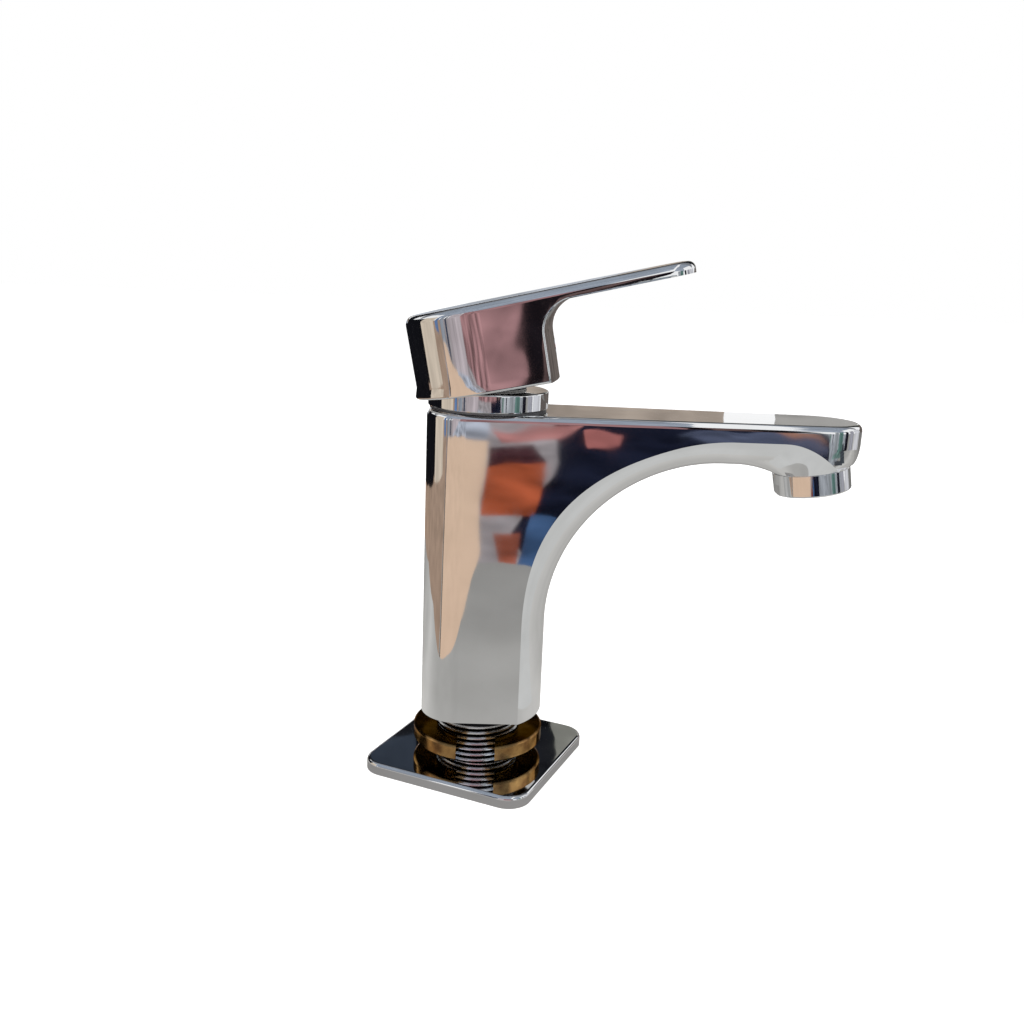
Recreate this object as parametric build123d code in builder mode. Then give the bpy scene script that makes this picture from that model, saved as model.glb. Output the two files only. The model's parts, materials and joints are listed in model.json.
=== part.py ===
"""Single-lever basin mixer: a cast body with an arched spout, a ceramic cartridge under a lever
handle, an aerator, and a hollow threaded shank with its slotted lock ring and loose cover plate.

Millimetres, +Z up. The origin is on the shank's axis at the underside of the cover plate, and the
spout points along +X.
"""

import os
from math import cos, radians, sin, sqrt, tan

from build123d import *

os.makedirs("parts", exist_ok=True)

# Cover plate, loose round the shank and resting on the deck
plate_side = 69.5
plate_corner = 9.0
plate_thick = 4.5
plate_edge = 1.4
plate_turn = -24.0
plate_clearance = 0.45
gasket_wall = 4.0
gasket_thick = 1.5
gasket_inset = 3.0

# Hollow threaded shank, one inch pipe thread
thread_od = 33.25
thread_pitch = 2.309
thread_depth = 1.479
thread_land = 0.23
shank_bore = 27.0
spigot_length = 12.0
spigot_clearance = 0.05

# Slotted brass lock ring on the shank
ring_od = 51.6
ring_thick = 6.2
ring_height = 9.0
ring_slot = 15.0
ring_chamfer = 0.8
ring_clearance = 0.1

# Cast body: column and arched spout
body_bottom = 23.1
body_height = 119.5
column_back = 22.5
column_front = 25.0
back_round = 15.0
side_taper = 1.8
spout_depth = 17.6
arch_radius = 65.0
underside_arc = 27.0
top_round = 2.0
socket_roof = 3.0
column_wall = 3.4
valve_block = 22.0
cavity_round = 12.0

# Spout end and aerator, whose axis leans forward
spout_reach = 124.0
nose_radius = 17.0
aerator_lean = 10.0
aerator_radius = 14.4
aerator_height = 8.6
aerator_neck_radius = 11.4
aerator_neck = 6.0
aerator_wall = 1.8
aerator_flats = 27.2
cove_radius = 3.0
outlet_clearance = 0.1
screen_thick = 0.8
insert_thick = 5.0
insert_recess = 1.0
washer_thick = 1.5
insert_hole = 1.3
insert_pitch = 3.6
insert_rows = 2

# Waterway inside the casting
waterway_height = 9.0
waterway_width = 18.0
waterway_drop = 13.0
waterway_cover = 9.1
waterway_turn = 60.0
outlet_x = 8.0
outlet_radius = 4.0
inlet_x = -2.0
inlet_y = 7.5
inlet_radius = 4.5
inlet_depth = 12.0
inlet_passage = 3.0

# Ceramic cartridge
chamber_radius = 17.5
cartridge_clearance = 0.2
cartridge_depth = 30.0
housing_wall = 1.9
base_thick = 5.0
fixed_disc_thick = 4.0
moving_disc_thick = 3.0
moving_disc_radius = 10.0
pocket_length = 14.0
carrier_thick = 4.0
carrier_radius = 9.4
slide_clearance = 0.3
flange_thick = 3.7
turret_radius = 12.2
turret_clearance = 0.1
turret_top = 8.0
shoulder_wall = 2.4
port_seal_thick = 1.2
port_seal_wall = 1.3
disc_seal_thick = 1.2

# Nut and collar that hold the cartridge down
nut_radius = 19.4
nut_rise = 5.0
nut_clearance = 0.1
collar_radius = 22.6
collar_height = 7.4
collar_edge = 0.8
collar_roof = 2.0
slip_ring_thick = 0.8
slip_ring_inset = 0.6

# Stem and its pin
pivot_height = 2.0
stem_width = 8.0
stem_top = 24.0
stem_foot_radius = 2.5
stem_slot_length = 20.0
pin_radius = 1.5
pin_clearance = 0.06
pin_length = 20.0

# Lever handle, drawn level and then lifted to the photographed pose
lever_lift = 11.0
skirt_bottom = 5.8
skirt_back = 25.6
skirt_half = 25.0
skirt_front = 24.0
front_bulge = 4.0
handle_back_top = 35.9
lever_rise = 2.3
lever_reach = 82.0
lever_tip_half = 13.5
lever_tip_round = 11.0
lever_thick = 5.0
lever_fillet = 10.0
lever_crown = 0.9
handle_edge = 1.0
handle_wall = 2.5
handle_roof = 5.0
boss_side = 15.0
boss_gap = 10.0
socket_clearance = 0.05
screw_radius = 2.5
screw_length = 9.0
screw_clearance = 0.1
plug_radius = 4.0
plug_depth = 2.5
screw_height = 17.0
rib_width = 12.0

# Heights and places worked out from the values above
body_top = body_bottom + body_height
valve_floor = body_top - cartridge_depth
block_bottom = valve_floor - valve_block
thread_radius = thread_od / 2
pivot_z = body_top + pivot_height
arch_top = body_top - spout_depth
arch_spring = arch_top - arch_radius
waterway_rise = body_top - waterway_cover
arch_centre_x = column_front + arch_radius
taper = radians(side_taper)
lean = radians(aerator_lean)
lift = radians(lever_lift)
far = 4 * spout_reach

# Places along the aerator's leaning axis, from the seat where the nose is cut across it
cove_end_x = spout_reach - aerator_radius * cos(lean)
cove_start_x = cove_end_x - cove_radius
cove_end_z = arch_top - cove_radius
seat_z = cove_end_z + (spout_reach - cove_end_x) * tan(lean)
aerator_seat = Plane(origin=(spout_reach, 0, seat_z), x_dir=(0, 1, 0), z_dir=(sin(lean), 0, -cos(lean)))

# Frames of the lever: its plan and its side
lever_plan = Plane(origin=(0, 0, pivot_z), x_dir=(cos(lift), 0, sin(lift)), z_dir=(-sin(lift), 0, cos(lift)))
lever_side = Plane(origin=(0, 0, pivot_z), x_dir=(cos(lift), 0, sin(lift)), z_dir=(0, -1, 0))


def write(name: str, part: Part) -> None:
    """Label one finished piece and write its STEP file."""
    part.label = name
    export_step(part, f"parts/{name}.step")


# Cover plate with a recess for its gasket
gasket_radius = thread_radius + plate_clearance + gasket_inset + gasket_wall
with BuildPart() as cover_plate:
    with BuildSketch(Plane.XY.rotated((0, 0, plate_turn))):
        RectangleRounded(plate_side, plate_side, plate_corner)
        Circle(thread_radius + plate_clearance, mode=Mode.SUBTRACT)
    extrude(amount=plate_thick)
    fillet(cover_plate.faces().sort_by(Axis.Z)[-1].outer_wire().edges(), plate_edge)
    with BuildSketch():
        Circle(gasket_radius)
        Circle(gasket_radius - gasket_wall, mode=Mode.SUBTRACT)
    extrude(amount=gasket_thick, mode=Mode.SUBTRACT)
write("cover_plate", cover_plate.part)

with BuildPart() as plate_gasket:
    with BuildSketch():
        Circle(gasket_radius)
        Circle(gasket_radius - gasket_wall, mode=Mode.SUBTRACT)
    extrude(amount=gasket_thick)
write("plate_gasket", plate_gasket.part)

# Shank: a plain spigot in the body's socket, and thread grooves over the exposed length
spigot_radius = thread_radius - thread_depth / 2
groove_count = int(body_bottom // thread_pitch)
thread_start = (body_bottom - groove_count * thread_pitch) / 2
with BuildPart() as mounting_shank:
    with BuildSketch(Plane.XZ):
        with BuildLine():
            outline = [(shank_bore / 2, 0), (thread_radius - thread_depth, 0)]
            for groove in range(groove_count):
                foot = thread_start + groove * thread_pitch
                outline.append((thread_radius - thread_depth, foot + thread_land / 2))
                outline.append((thread_radius, foot + (thread_pitch - thread_land) / 2))
                outline.append((thread_radius, foot + (thread_pitch + thread_land) / 2))
                outline.append((thread_radius - thread_depth, foot + thread_pitch - thread_land / 2))
            outline.append((thread_radius - thread_depth, body_bottom))
            outline.append((spigot_radius, body_bottom))
            outline.append((spigot_radius, body_bottom + spigot_length))
            outline.append((shank_bore / 2, body_bottom + spigot_length))
            Polyline(*outline, close=True)
        make_face()
    revolve(axis=Axis.Z)
write("mounting_shank", mounting_shank.part)

# Lock ring: a thick brass washer with a wrench slot that opens it on the near side
with BuildPart() as lock_ring:
    with BuildSketch(Plane.XY.offset(ring_height)):
        Circle(ring_od / 2)
        Circle(thread_radius + ring_clearance, mode=Mode.SUBTRACT)
        with Locations((0, -ring_od / 2)):
            Rectangle(ring_slot, ring_od, mode=Mode.SUBTRACT)
    extrude(amount=ring_thick)
    chamfer(lock_ring.edges().filter_by(GeomType.CIRCLE).group_by(SortBy.RADIUS)[-1], ring_chamfer)
write("lock_ring", lock_ring.part)

# Body: the plan of column and spout, cut from below by the arch
side_x = spout_reach + nose_radius * sin(taper)
side_y = nose_radius * cos(taper)
back_y = side_y + (side_x + column_back) * tan(taper)
with BuildPart() as faucet_body:
    with BuildSketch(Plane.XY.offset(body_bottom)) as body_plan:
        with BuildLine():
            Line((side_x, side_y), (-column_back, back_y))
            Line((-column_back, back_y), (-column_back, -back_y))
            Line((-column_back, -back_y), (side_x, -side_y))
            ThreePointArc((side_x, -side_y), (spout_reach + nose_radius, 0), (side_x, side_y))
        make_face()
        fillet(body_plan.vertices().group_by(Axis.X)[0], back_round)
    extrude(amount=body_height)
    # The space under the spout has one rounded section all the way: up the column's front, round
    # the arch, along the spout and down the cove to the aerator's seat
    with BuildSketch(Plane.XY.offset(body_bottom)):
        with Locations((arch_centre_x, 0)):
            Rectangle(arch_radius + underside_arc, 2 * underside_arc, align=(Align.MAX, Align.CENTER))
        with Locations((column_front - underside_arc, 0)):
            Circle(underside_arc, mode=Mode.SUBTRACT)
    extrude(amount=arch_spring - body_bottom, mode=Mode.SUBTRACT)
    with BuildSketch(Plane.XY.offset(arch_spring)):
        with Locations((arch_centre_x, 0)):
            Rectangle(arch_radius + underside_arc, 2 * underside_arc, align=(Align.MAX, Align.CENTER))
        with Locations((column_front - underside_arc, 0)):
            Circle(underside_arc, mode=Mode.SUBTRACT)
    arch_axis = Axis((arch_centre_x, 0, arch_spring), (0, 1, 0))
    revolve(axis=arch_axis, revolution_arc=90, mode=Mode.SUBTRACT)
    with BuildSketch(Plane.YZ.offset(arch_centre_x)):
        with Locations((0, body_bottom)):
            Rectangle(
                2 * underside_arc, arch_top + underside_arc - body_bottom, align=(Align.CENTER, Align.MIN)
            )
        with Locations((0, arch_top + underside_arc)):
            Circle(underside_arc, mode=Mode.SUBTRACT)
    extrude(amount=cove_start_x - arch_centre_x, mode=Mode.SUBTRACT)
    with BuildSketch(Plane.YZ.offset(cove_start_x)):
        with Locations((0, cove_end_z)):
            Rectangle(2 * underside_arc, cove_radius + underside_arc, align=(Align.CENTER, Align.MIN))
        with Locations((0, arch_top + underside_arc)):
            Circle(underside_arc, mode=Mode.SUBTRACT)
    cove_axis = Axis((cove_start_x, 0, cove_end_z), (0, 1, 0))
    revolve(axis=cove_axis, revolution_arc=90, mode=Mode.SUBTRACT)
    with BuildSketch(Plane.XZ):
        with BuildLine():
            Polyline(
                (cove_start_x, body_bottom),
                (cove_start_x, cove_end_z),
                (cove_end_x, cove_end_z),
                (far, cove_end_z + (far - cove_end_x) * tan(lean)),
                (far, body_bottom),
                close=True,
            )
        make_face()
    extrude(amount=body_height, both=True, mode=Mode.SUBTRACT)
    fillet(faucet_body.faces().sort_by(Axis.Z)[-1].outer_wire().edges(), top_round)
    # Socket for the shank, and the dry space above it
    socket_radius = spigot_radius + spigot_clearance
    with BuildSketch(Plane.XY.offset(body_bottom)):
        Circle(socket_radius)
    extrude(amount=spigot_length, mode=Mode.SUBTRACT)
    with BuildSketch(Plane.XY.offset(body_bottom + spigot_length)):
        Circle(shank_bore / 2)
    extrude(amount=socket_roof, mode=Mode.SUBTRACT)
    cavity_bottom = body_bottom + spigot_length + socket_roof
    cavity_length = column_back + column_front - 2 * column_wall
    with BuildSketch(Plane.XY.offset(cavity_bottom)):
        with Locations(((column_front - column_back) / 2, 0)):
            RectangleRounded(cavity_length, 2 * (side_y + side_x * tan(taper) - column_wall), cavity_round)
    extrude(amount=block_bottom - cavity_bottom, mode=Mode.SUBTRACT)
    # Cartridge chamber and the wider mouth for its nut
    shoulder_z = (
        valve_floor + base_thick + fixed_disc_thick + moving_disc_thick + carrier_thick
        + slide_clearance + flange_thick + shoulder_wall
    )
    with BuildSketch(Plane.XY.offset(valve_floor)):
        Circle(chamber_radius)
    extrude(amount=cartridge_depth, mode=Mode.SUBTRACT)
    with BuildSketch(Plane.XY.offset(shoulder_z)):
        Circle(nut_radius + nut_clearance)
    extrude(amount=body_top - shoulder_z, mode=Mode.SUBTRACT)
    # Inlets from below, with narrower passages up to the valve floor
    with BuildSketch(Plane.XY.offset(block_bottom)):
        with Locations((inlet_x, inlet_y), (inlet_x, -inlet_y)):
            Circle(inlet_radius)
    extrude(amount=inlet_depth, mode=Mode.SUBTRACT)
    with BuildSketch(Plane.XY.offset(block_bottom)):
        with Locations((inlet_x, inlet_y), (inlet_x, -inlet_y)):
            Circle(inlet_passage)
    extrude(amount=valve_block, mode=Mode.SUBTRACT)
    # Waterway: down from the cartridge, up through the arch and along the spout
    with BuildSketch(Plane.XY.offset(valve_floor - waterway_drop)):
        with Locations((outlet_x, 0)):
            Circle(outlet_radius)
    extrude(amount=waterway_drop, mode=Mode.SUBTRACT)
    with BuildSketch(Plane.XZ):
        with BuildLine() as waterway_path:
            Polyline(
                (outlet_x, valve_floor - waterway_drop),
                (waterway_turn, waterway_rise),
                (spout_reach, waterway_rise),
            )
        trace(waterway_path.line, waterway_height)
    extrude(amount=waterway_width / 2, both=True, mode=Mode.SUBTRACT)
    with BuildSketch(aerator_seat):
        Circle(aerator_neck_radius + outlet_clearance)
    extrude(amount=-(waterway_rise - seat_z), mode=Mode.SUBTRACT)
write("faucet_body", faucet_body.part)

# Aerator: the chrome housing with wrench flats, and the insert, screen and washer inside it
neck_bore = aerator_neck_radius - aerator_wall
with BuildPart() as aerator_housing:
    with BuildSketch(aerator_seat):
        Circle(aerator_radius)
    extrude(amount=aerator_height)
    with BuildSketch(aerator_seat):
        Circle(aerator_neck_radius)
    extrude(amount=-aerator_neck)
    with BuildSketch(aerator_seat.offset(-aerator_neck)):
        Circle(neck_bore)
    extrude(amount=aerator_neck + aerator_height, mode=Mode.SUBTRACT)
    with BuildSketch(aerator_seat.offset(aerator_height / 2)):
        Circle(2 * aerator_radius)
        Rectangle(4 * aerator_radius, aerator_flats, mode=Mode.SUBTRACT)
    extrude(amount=aerator_height / 2, mode=Mode.SUBTRACT)
write("aerator_housing", aerator_housing.part)

insert_radius = neck_bore - outlet_clearance
insert_start = aerator_height - insert_thick - insert_recess
with BuildPart() as aerator_insert:
    with BuildSketch(aerator_seat.offset(insert_start)):
        Circle(insert_radius)
        for row in range(-insert_rows, insert_rows + 1):
            with Locations((0, row * insert_pitch * sqrt(3) / 2)):
                with GridLocations(insert_pitch, insert_pitch, 2 * insert_rows + 1 - abs(row), 1):
                    Circle(insert_hole, mode=Mode.SUBTRACT)
    extrude(amount=insert_thick)
write("aerator_insert", aerator_insert.part)

with BuildPart() as aerator_screen:
    with BuildSketch(aerator_seat.offset(insert_start - screen_thick)):
        Circle(insert_radius)
        with GridLocations(insert_pitch, insert_pitch, 4, 4):
            Rectangle(insert_pitch - 2 * screen_thick, insert_pitch - 2 * screen_thick, mode=Mode.SUBTRACT)
    extrude(amount=screen_thick)
write("aerator_screen", aerator_screen.part)

with BuildPart() as aerator_washer:
    with BuildSketch(aerator_seat.offset(-aerator_neck - washer_thick)):
        Circle(aerator_neck_radius)
        Circle(neck_bore, mode=Mode.SUBTRACT)
    extrude(amount=washer_thick)
write("aerator_washer", aerator_washer.part)

# Cartridge: heights of the stack above the valve floor
seal_z = valve_floor + base_thick - disc_seal_thick
disc_z = valve_floor + base_thick
slider_z = disc_z + fixed_disc_thick
carrier_z = slider_z + moving_disc_thick
flange_z = carrier_z + carrier_thick + slide_clearance
neck_z = flange_z + flange_thick
housing_radius = chamber_radius - cartridge_clearance
housing_bore = housing_radius - housing_wall
turret_bore = turret_radius + turret_clearance
ports = [(inlet_x, inlet_y), (inlet_x, -inlet_y), (outlet_x, 0)]
turret_z = body_top + turret_top

with BuildPart() as cartridge_housing:
    with BuildSketch(Plane.XY.offset(valve_floor)):
        Circle(housing_radius)
    extrude(amount=shoulder_z - valve_floor)
    with BuildSketch(Plane.XY.offset(shoulder_z)):
        Circle(turret_bore + housing_wall)
    extrude(amount=turret_z - shoulder_z)
    with BuildSketch(Plane.XY.offset(valve_floor)):
        Circle(housing_bore)
    extrude(amount=neck_z + turret_clearance - valve_floor, mode=Mode.SUBTRACT)
    with BuildSketch(Plane.XY.offset(valve_floor)):
        Circle(turret_bore)
    extrude(amount=turret_z - valve_floor, mode=Mode.SUBTRACT)
write("cartridge_housing", cartridge_housing.part)

with BuildPart() as cartridge_base:
    with BuildSketch(Plane.XY.offset(valve_floor)):
        Circle(housing_bore - outlet_clearance)
        with Locations(*ports):
            Circle(inlet_passage, mode=Mode.SUBTRACT)
    extrude(amount=base_thick)
    with BuildSketch(Plane.XY.offset(valve_floor)):
        with Locations(*ports):
            Circle(inlet_passage + port_seal_wall)
    extrude(amount=port_seal_thick, mode=Mode.SUBTRACT)
    with BuildSketch(Plane.XY.offset(seal_z)):
        with Locations(*ports):
            Circle(inlet_passage + port_seal_wall)
    extrude(amount=disc_seal_thick, mode=Mode.SUBTRACT)
write("cartridge_base", cartridge_base.part)

with BuildPart() as port_seals:
    with BuildSketch(Plane.XY.offset(valve_floor)):
        with Locations(*ports):
            Circle(inlet_passage + port_seal_wall)
        with Locations(*ports):
            Circle(inlet_passage, mode=Mode.SUBTRACT)
    extrude(amount=port_seal_thick)
write("port_seals", port_seals.part)

with BuildPart() as disc_seals:
    with BuildSketch(Plane.XY.offset(seal_z)):
        with Locations(*ports):
            Circle(inlet_passage + port_seal_wall)
        with Locations(*ports):
            Circle(inlet_passage, mode=Mode.SUBTRACT)
    extrude(amount=disc_seal_thick)
write("disc_seals", disc_seals.part)

with BuildPart() as fixed_disc:
    with BuildSketch(Plane.XY.offset(disc_z)):
        Circle(housing_bore - outlet_clearance)
        with Locations(*ports):
            Circle(inlet_passage, mode=Mode.SUBTRACT)
    extrude(amount=fixed_disc_thick)
write("fixed_disc", fixed_disc.part)

# Moving disc with its mixing pocket, and the carrier that the stem's foot pushes
with BuildPart() as moving_disc:
    with BuildSketch(Plane.XY.offset(slider_z)):
        Circle(moving_disc_radius)
    extrude(amount=moving_disc_thick)
    with BuildSketch(Plane.XY.offset(slider_z)):
        SlotOverall(pocket_length, inlet_passage * 2)
    extrude(amount=moving_disc_thick / 2, mode=Mode.SUBTRACT)
write("moving_disc", moving_disc.part)

foot_width = 2 * stem_foot_radius
with BuildPart() as disc_carrier:
    with BuildSketch(Plane.XY.offset(carrier_z)):
        Circle(carrier_radius)
        Rectangle(foot_width + 2 * slide_clearance, stem_width + 2 * slide_clearance, mode=Mode.SUBTRACT)
    extrude(amount=carrier_thick)
write("disc_carrier", disc_carrier.part)

# Turret that turns with the handle and carries the stem on its pin
with BuildPart() as stem_guide:
    with BuildSketch(Plane.XY.offset(flange_z)):
        Circle(housing_bore - cartridge_clearance)
    extrude(amount=flange_thick)
    with BuildSketch(Plane.XY.offset(flange_z)):
        Circle(turret_radius)
    extrude(amount=turret_z - flange_z)
    with BuildSketch(Plane.XY.offset(flange_z)):
        Rectangle(stem_slot_length, stem_width + 2 * slide_clearance)
    extrude(amount=turret_z - flange_z, mode=Mode.SUBTRACT)
    with BuildSketch(Plane.XZ):
        with Locations((0, pivot_z)):
            Circle(pin_radius)
    extrude(amount=pin_length / 2, both=True, mode=Mode.SUBTRACT)
write("stem_guide", stem_guide.part)

with BuildPart() as stem_pin:
    with BuildSketch(Plane.XZ):
        with Locations((0, pivot_z)):
            Circle(pin_radius)
    extrude(amount=pin_length / 2, both=True)
write("stem_pin", stem_pin.part)

# Stem: a square bar with a rounded foot in the carrier
foot_z = carrier_z + stem_foot_radius + slide_clearance
with BuildPart() as stem:
    with BuildSketch(Plane.XZ):
        with Locations((0, foot_z)):
            Circle(stem_foot_radius)
        with Locations((0, (foot_z + flange_z + flange_thick) / 2)):
            Rectangle(foot_width, flange_z + flange_thick - foot_z)
        with Locations((0, (flange_z + flange_thick + pivot_z + stem_top) / 2)):
            Rectangle(stem_width, pivot_z + stem_top - flange_z - flange_thick)
        with Locations((0, pivot_z)):
            Circle(pin_radius + pin_clearance, mode=Mode.SUBTRACT)
    extrude(amount=stem_width / 2, both=True)
write("stem", stem.part)

# Nut and chromed collar over the cartridge
with BuildPart() as cartridge_nut:
    with BuildSketch(Plane.XY.offset(shoulder_z)):
        Circle(nut_radius)
        Circle(turret_bore + housing_wall + nut_clearance, mode=Mode.SUBTRACT)
    extrude(amount=body_top + nut_rise - shoulder_z)
write("cartridge_nut", cartridge_nut.part)

with BuildPart() as slip_ring:
    with BuildSketch(Plane.XY.offset(body_top)):
        Circle(collar_radius - slip_ring_inset)
        Circle(nut_radius + nut_clearance, mode=Mode.SUBTRACT)
    extrude(amount=slip_ring_thick)
write("slip_ring", slip_ring.part)

collar_z = body_top + slip_ring_thick
with BuildPart() as cartridge_collar:
    with BuildSketch(Plane.XY.offset(collar_z)):
        Circle(collar_radius)
        Circle(turret_bore + housing_wall + nut_clearance, mode=Mode.SUBTRACT)
    extrude(amount=collar_height - slip_ring_thick)
    fillet(cartridge_collar.faces().sort_by(Axis.Z)[-1].outer_wire().edges(), collar_edge)
    with BuildSketch(Plane.XY.offset(collar_z)):
        Circle(nut_radius + nut_clearance)
    extrude(amount=collar_height - slip_ring_thick - collar_roof, mode=Mode.SUBTRACT)
write("cartridge_collar", cartridge_collar.part)

# Finger space under the lever, cut from the handle: bowed at the back where it meets the skirt
rise = tan(radians(lever_rise))
lever_tip_top = handle_back_top + (lever_reach + skirt_back) * rise
under_tip = lever_tip_top - lever_thick
skirt_nose = skirt_front + front_bulge
under_nose = under_tip - (lever_reach - skirt_nose) * rise
half_at_front = skirt_half - (skirt_half - lever_tip_half) * skirt_front / lever_reach
lever_under = Plane(
    origin=lever_side.from_local_coords((skirt_nose, under_nose)),
    x_dir=(cos(lift + radians(lever_rise)), 0, sin(lift + radians(lever_rise))),
    z_dir=(-sin(lift + radians(lever_rise)), 0, cos(lift + radians(lever_rise))),
)
with BuildPart() as finger_space:
    with BuildSketch(lever_under):
        with BuildLine():
            ThreePointArc((-front_bulge, half_at_front), (0, 0), (-front_bulge, -half_at_front))
            Polyline(
                (-front_bulge, -half_at_front),
                (-front_bulge, -2 * skirt_half),
                (lever_reach, -2 * skirt_half),
                (lever_reach, 2 * skirt_half),
                (-front_bulge, 2 * skirt_half),
                (-front_bulge, half_at_front),
            )
        make_face()
    extrude(amount=-2 * lever_tip_top)
    back_edges = finger_space.edges().filter_by(
        lambda e: abs(lever_under.to_local_coords(e.center()).Z) < 0.01
        and lever_under.to_local_coords(e.center()).X < lever_thick
    )
    fillet(back_edges, lever_fillet)

# Handle: one plan for skirt and lever, one side view, hollow under the roof, with a boss for the
# stem and a rib for its screw
roof_w = handle_back_top - handle_roof
inner_half = skirt_half - handle_wall
inner_front = half_at_front - handle_wall
screw_line = Plane(
    origin=lever_side.from_local_coords((0, screw_height)), x_dir=(0, 1, 0), z_dir=(cos(lift), 0, sin(lift))
)
screw_start = (stem_width / 2 + socket_clearance + (screw_radius + screw_height) * sin(lift)) / cos(lift)
with BuildPart() as handle:
    with BuildSketch(lever_plan.offset(skirt_bottom)) as handle_plan:
        with BuildLine():
            ThreePointArc((0, skirt_half), (-skirt_back, 0), (0, -skirt_half))
            Line((0, -skirt_half), (lever_reach, -lever_tip_half))
            Line((lever_reach, -lever_tip_half), (lever_reach, lever_tip_half))
            Line((lever_reach, lever_tip_half), (0, skirt_half))
        make_face()
        fillet(handle_plan.vertices().group_by(Axis.X)[-1], lever_tip_round)
    extrude(amount=2 * lever_tip_top)
    with BuildSketch(lever_side):
        with BuildLine():
            Polyline(
                (lever_reach, lever_tip_top), (lever_reach, skirt_bottom), (-skirt_back, skirt_bottom),
                (-skirt_back, handle_back_top),
            )
            SagittaArc((-skirt_back, handle_back_top), (lever_reach, lever_tip_top), lever_crown)
        make_face()
    extrude(amount=2 * skirt_half, both=True, mode=Mode.INTERSECT)
    add(finger_space.part, mode=Mode.SUBTRACT)
    lever_up = Axis(lever_plan.origin, lever_plan.z_dir)
    fillet(handle.faces().sort_by(lever_up)[-1].outer_wire().edges(), handle_edge)
    with BuildSketch(lever_plan.offset(skirt_bottom)):
        with BuildLine():
            ThreePointArc((0, inner_half), (handle_wall - skirt_back, 0), (0, -inner_half))
            Line((0, -inner_half), (skirt_front - handle_wall, -inner_front))
            ThreePointArc(
                (skirt_front - handle_wall, -inner_front),
                (skirt_nose - handle_wall, 0),
                (skirt_front - handle_wall, inner_front),
            )
            Line((skirt_front - handle_wall, inner_front), (0, inner_half))
        make_face()
    extrude(amount=roof_w - skirt_bottom, mode=Mode.SUBTRACT)
    with BuildSketch(Plane.XY.offset(pivot_z + boss_gap)):
        Rectangle(boss_side, boss_side)
    extrude(amount=roof_w + handle_roof / 2 - boss_gap)
    with BuildSketch(lever_plan.offset(screw_height - rib_width / 2)):
        Rectangle(skirt_nose - handle_wall / 2, rib_width, align=(Align.MIN, Align.CENTER))
    extrude(amount=roof_w - screw_height + rib_width / 2)
    with BuildSketch(Plane.XY.offset(pivot_z + boss_gap)):
        Rectangle(stem_width + 2 * socket_clearance, stem_width + 2 * socket_clearance)
    extrude(amount=stem_top - boss_gap, mode=Mode.SUBTRACT)
    with BuildSketch(screw_line):
        Circle(screw_radius + screw_clearance)
    extrude(amount=skirt_nose, mode=Mode.SUBTRACT)
    with BuildSketch(screw_line.offset(skirt_nose - plug_depth)):
        Circle(plug_radius + screw_clearance)
    extrude(amount=plug_depth, mode=Mode.SUBTRACT)
write("handle", handle.part)

with BuildPart() as set_screw:
    with BuildSketch(screw_line.offset(screw_start)):
        Circle(screw_radius)
    extrude(amount=screw_length)
    with BuildSketch(screw_line.offset(screw_start + screw_length / 2)):
        RegularPolygon(screw_radius / 2, 6)
    extrude(amount=screw_length / 2, mode=Mode.SUBTRACT)
write("set_screw", set_screw.part)

with BuildPart() as index_plug:
    with BuildSketch(screw_line.offset(skirt_nose - plug_depth)):
        Circle(plug_radius)
    extrude(amount=plug_depth)
write("index_plug", index_plug.part)
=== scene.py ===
"""Looks of a single-lever basin mixer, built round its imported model.

Lengths in the classes of the mixer's pieces are millimetres in the part's own frame, +Z up, with
the origin on the shank's axis at the underside of the cover plate and the spout along +X. The
studio is in metres.
"""

import json
import logging
from dataclasses import dataclass
from enum import Enum
from functools import cached_property
from math import atan, atan2, cos, degrees, hypot, inf, pi, radians, sin, sqrt, tan, tau
from typing import Callable, Self, Sequence

import bpy
from mathutils import Matrix, Vector

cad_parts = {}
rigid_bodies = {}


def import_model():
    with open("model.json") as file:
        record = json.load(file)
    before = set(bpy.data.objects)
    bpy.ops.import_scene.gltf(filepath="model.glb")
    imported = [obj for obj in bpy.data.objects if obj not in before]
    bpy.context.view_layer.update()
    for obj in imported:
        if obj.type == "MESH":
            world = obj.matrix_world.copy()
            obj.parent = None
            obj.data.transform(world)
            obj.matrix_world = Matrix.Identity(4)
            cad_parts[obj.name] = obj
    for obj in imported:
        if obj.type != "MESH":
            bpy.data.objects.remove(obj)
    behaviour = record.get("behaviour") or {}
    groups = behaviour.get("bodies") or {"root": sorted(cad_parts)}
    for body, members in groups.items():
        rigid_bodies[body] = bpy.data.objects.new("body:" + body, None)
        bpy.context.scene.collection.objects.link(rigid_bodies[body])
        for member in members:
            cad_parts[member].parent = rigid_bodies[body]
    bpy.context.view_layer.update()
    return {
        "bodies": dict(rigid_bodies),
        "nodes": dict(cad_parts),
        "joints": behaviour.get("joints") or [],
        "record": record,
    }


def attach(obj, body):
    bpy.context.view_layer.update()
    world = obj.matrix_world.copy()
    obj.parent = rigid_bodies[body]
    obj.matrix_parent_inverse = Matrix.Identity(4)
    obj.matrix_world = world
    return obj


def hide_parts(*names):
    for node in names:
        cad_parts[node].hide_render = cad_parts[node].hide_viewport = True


LOG = logging.getLogger("basin_mixer")
MM = 0.001
WELD = 1e-4  # corners closer than this are one
TOUCH = 0.01  # slack for corners that lie on a face
LAP = 0.1  # small overlap, so that faces of two shapes don't coincide
SPARE = 1.0  # how far a tool stands out of the piece
WHITE = (1.0, 1.0, 1.0, 1.0)

Point = tuple[float, float]
Corner = tuple[float, float, float]
Tone = tuple[float, float, float]
Colour = tuple[float, float, float, float]
Panel = tuple[str, Tone, float, Point, Point]
Piece = bpy.types.Object
Socket = bpy.types.NodeSocket
EdgeTest = Callable[[Vector, Vector], bool]


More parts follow.
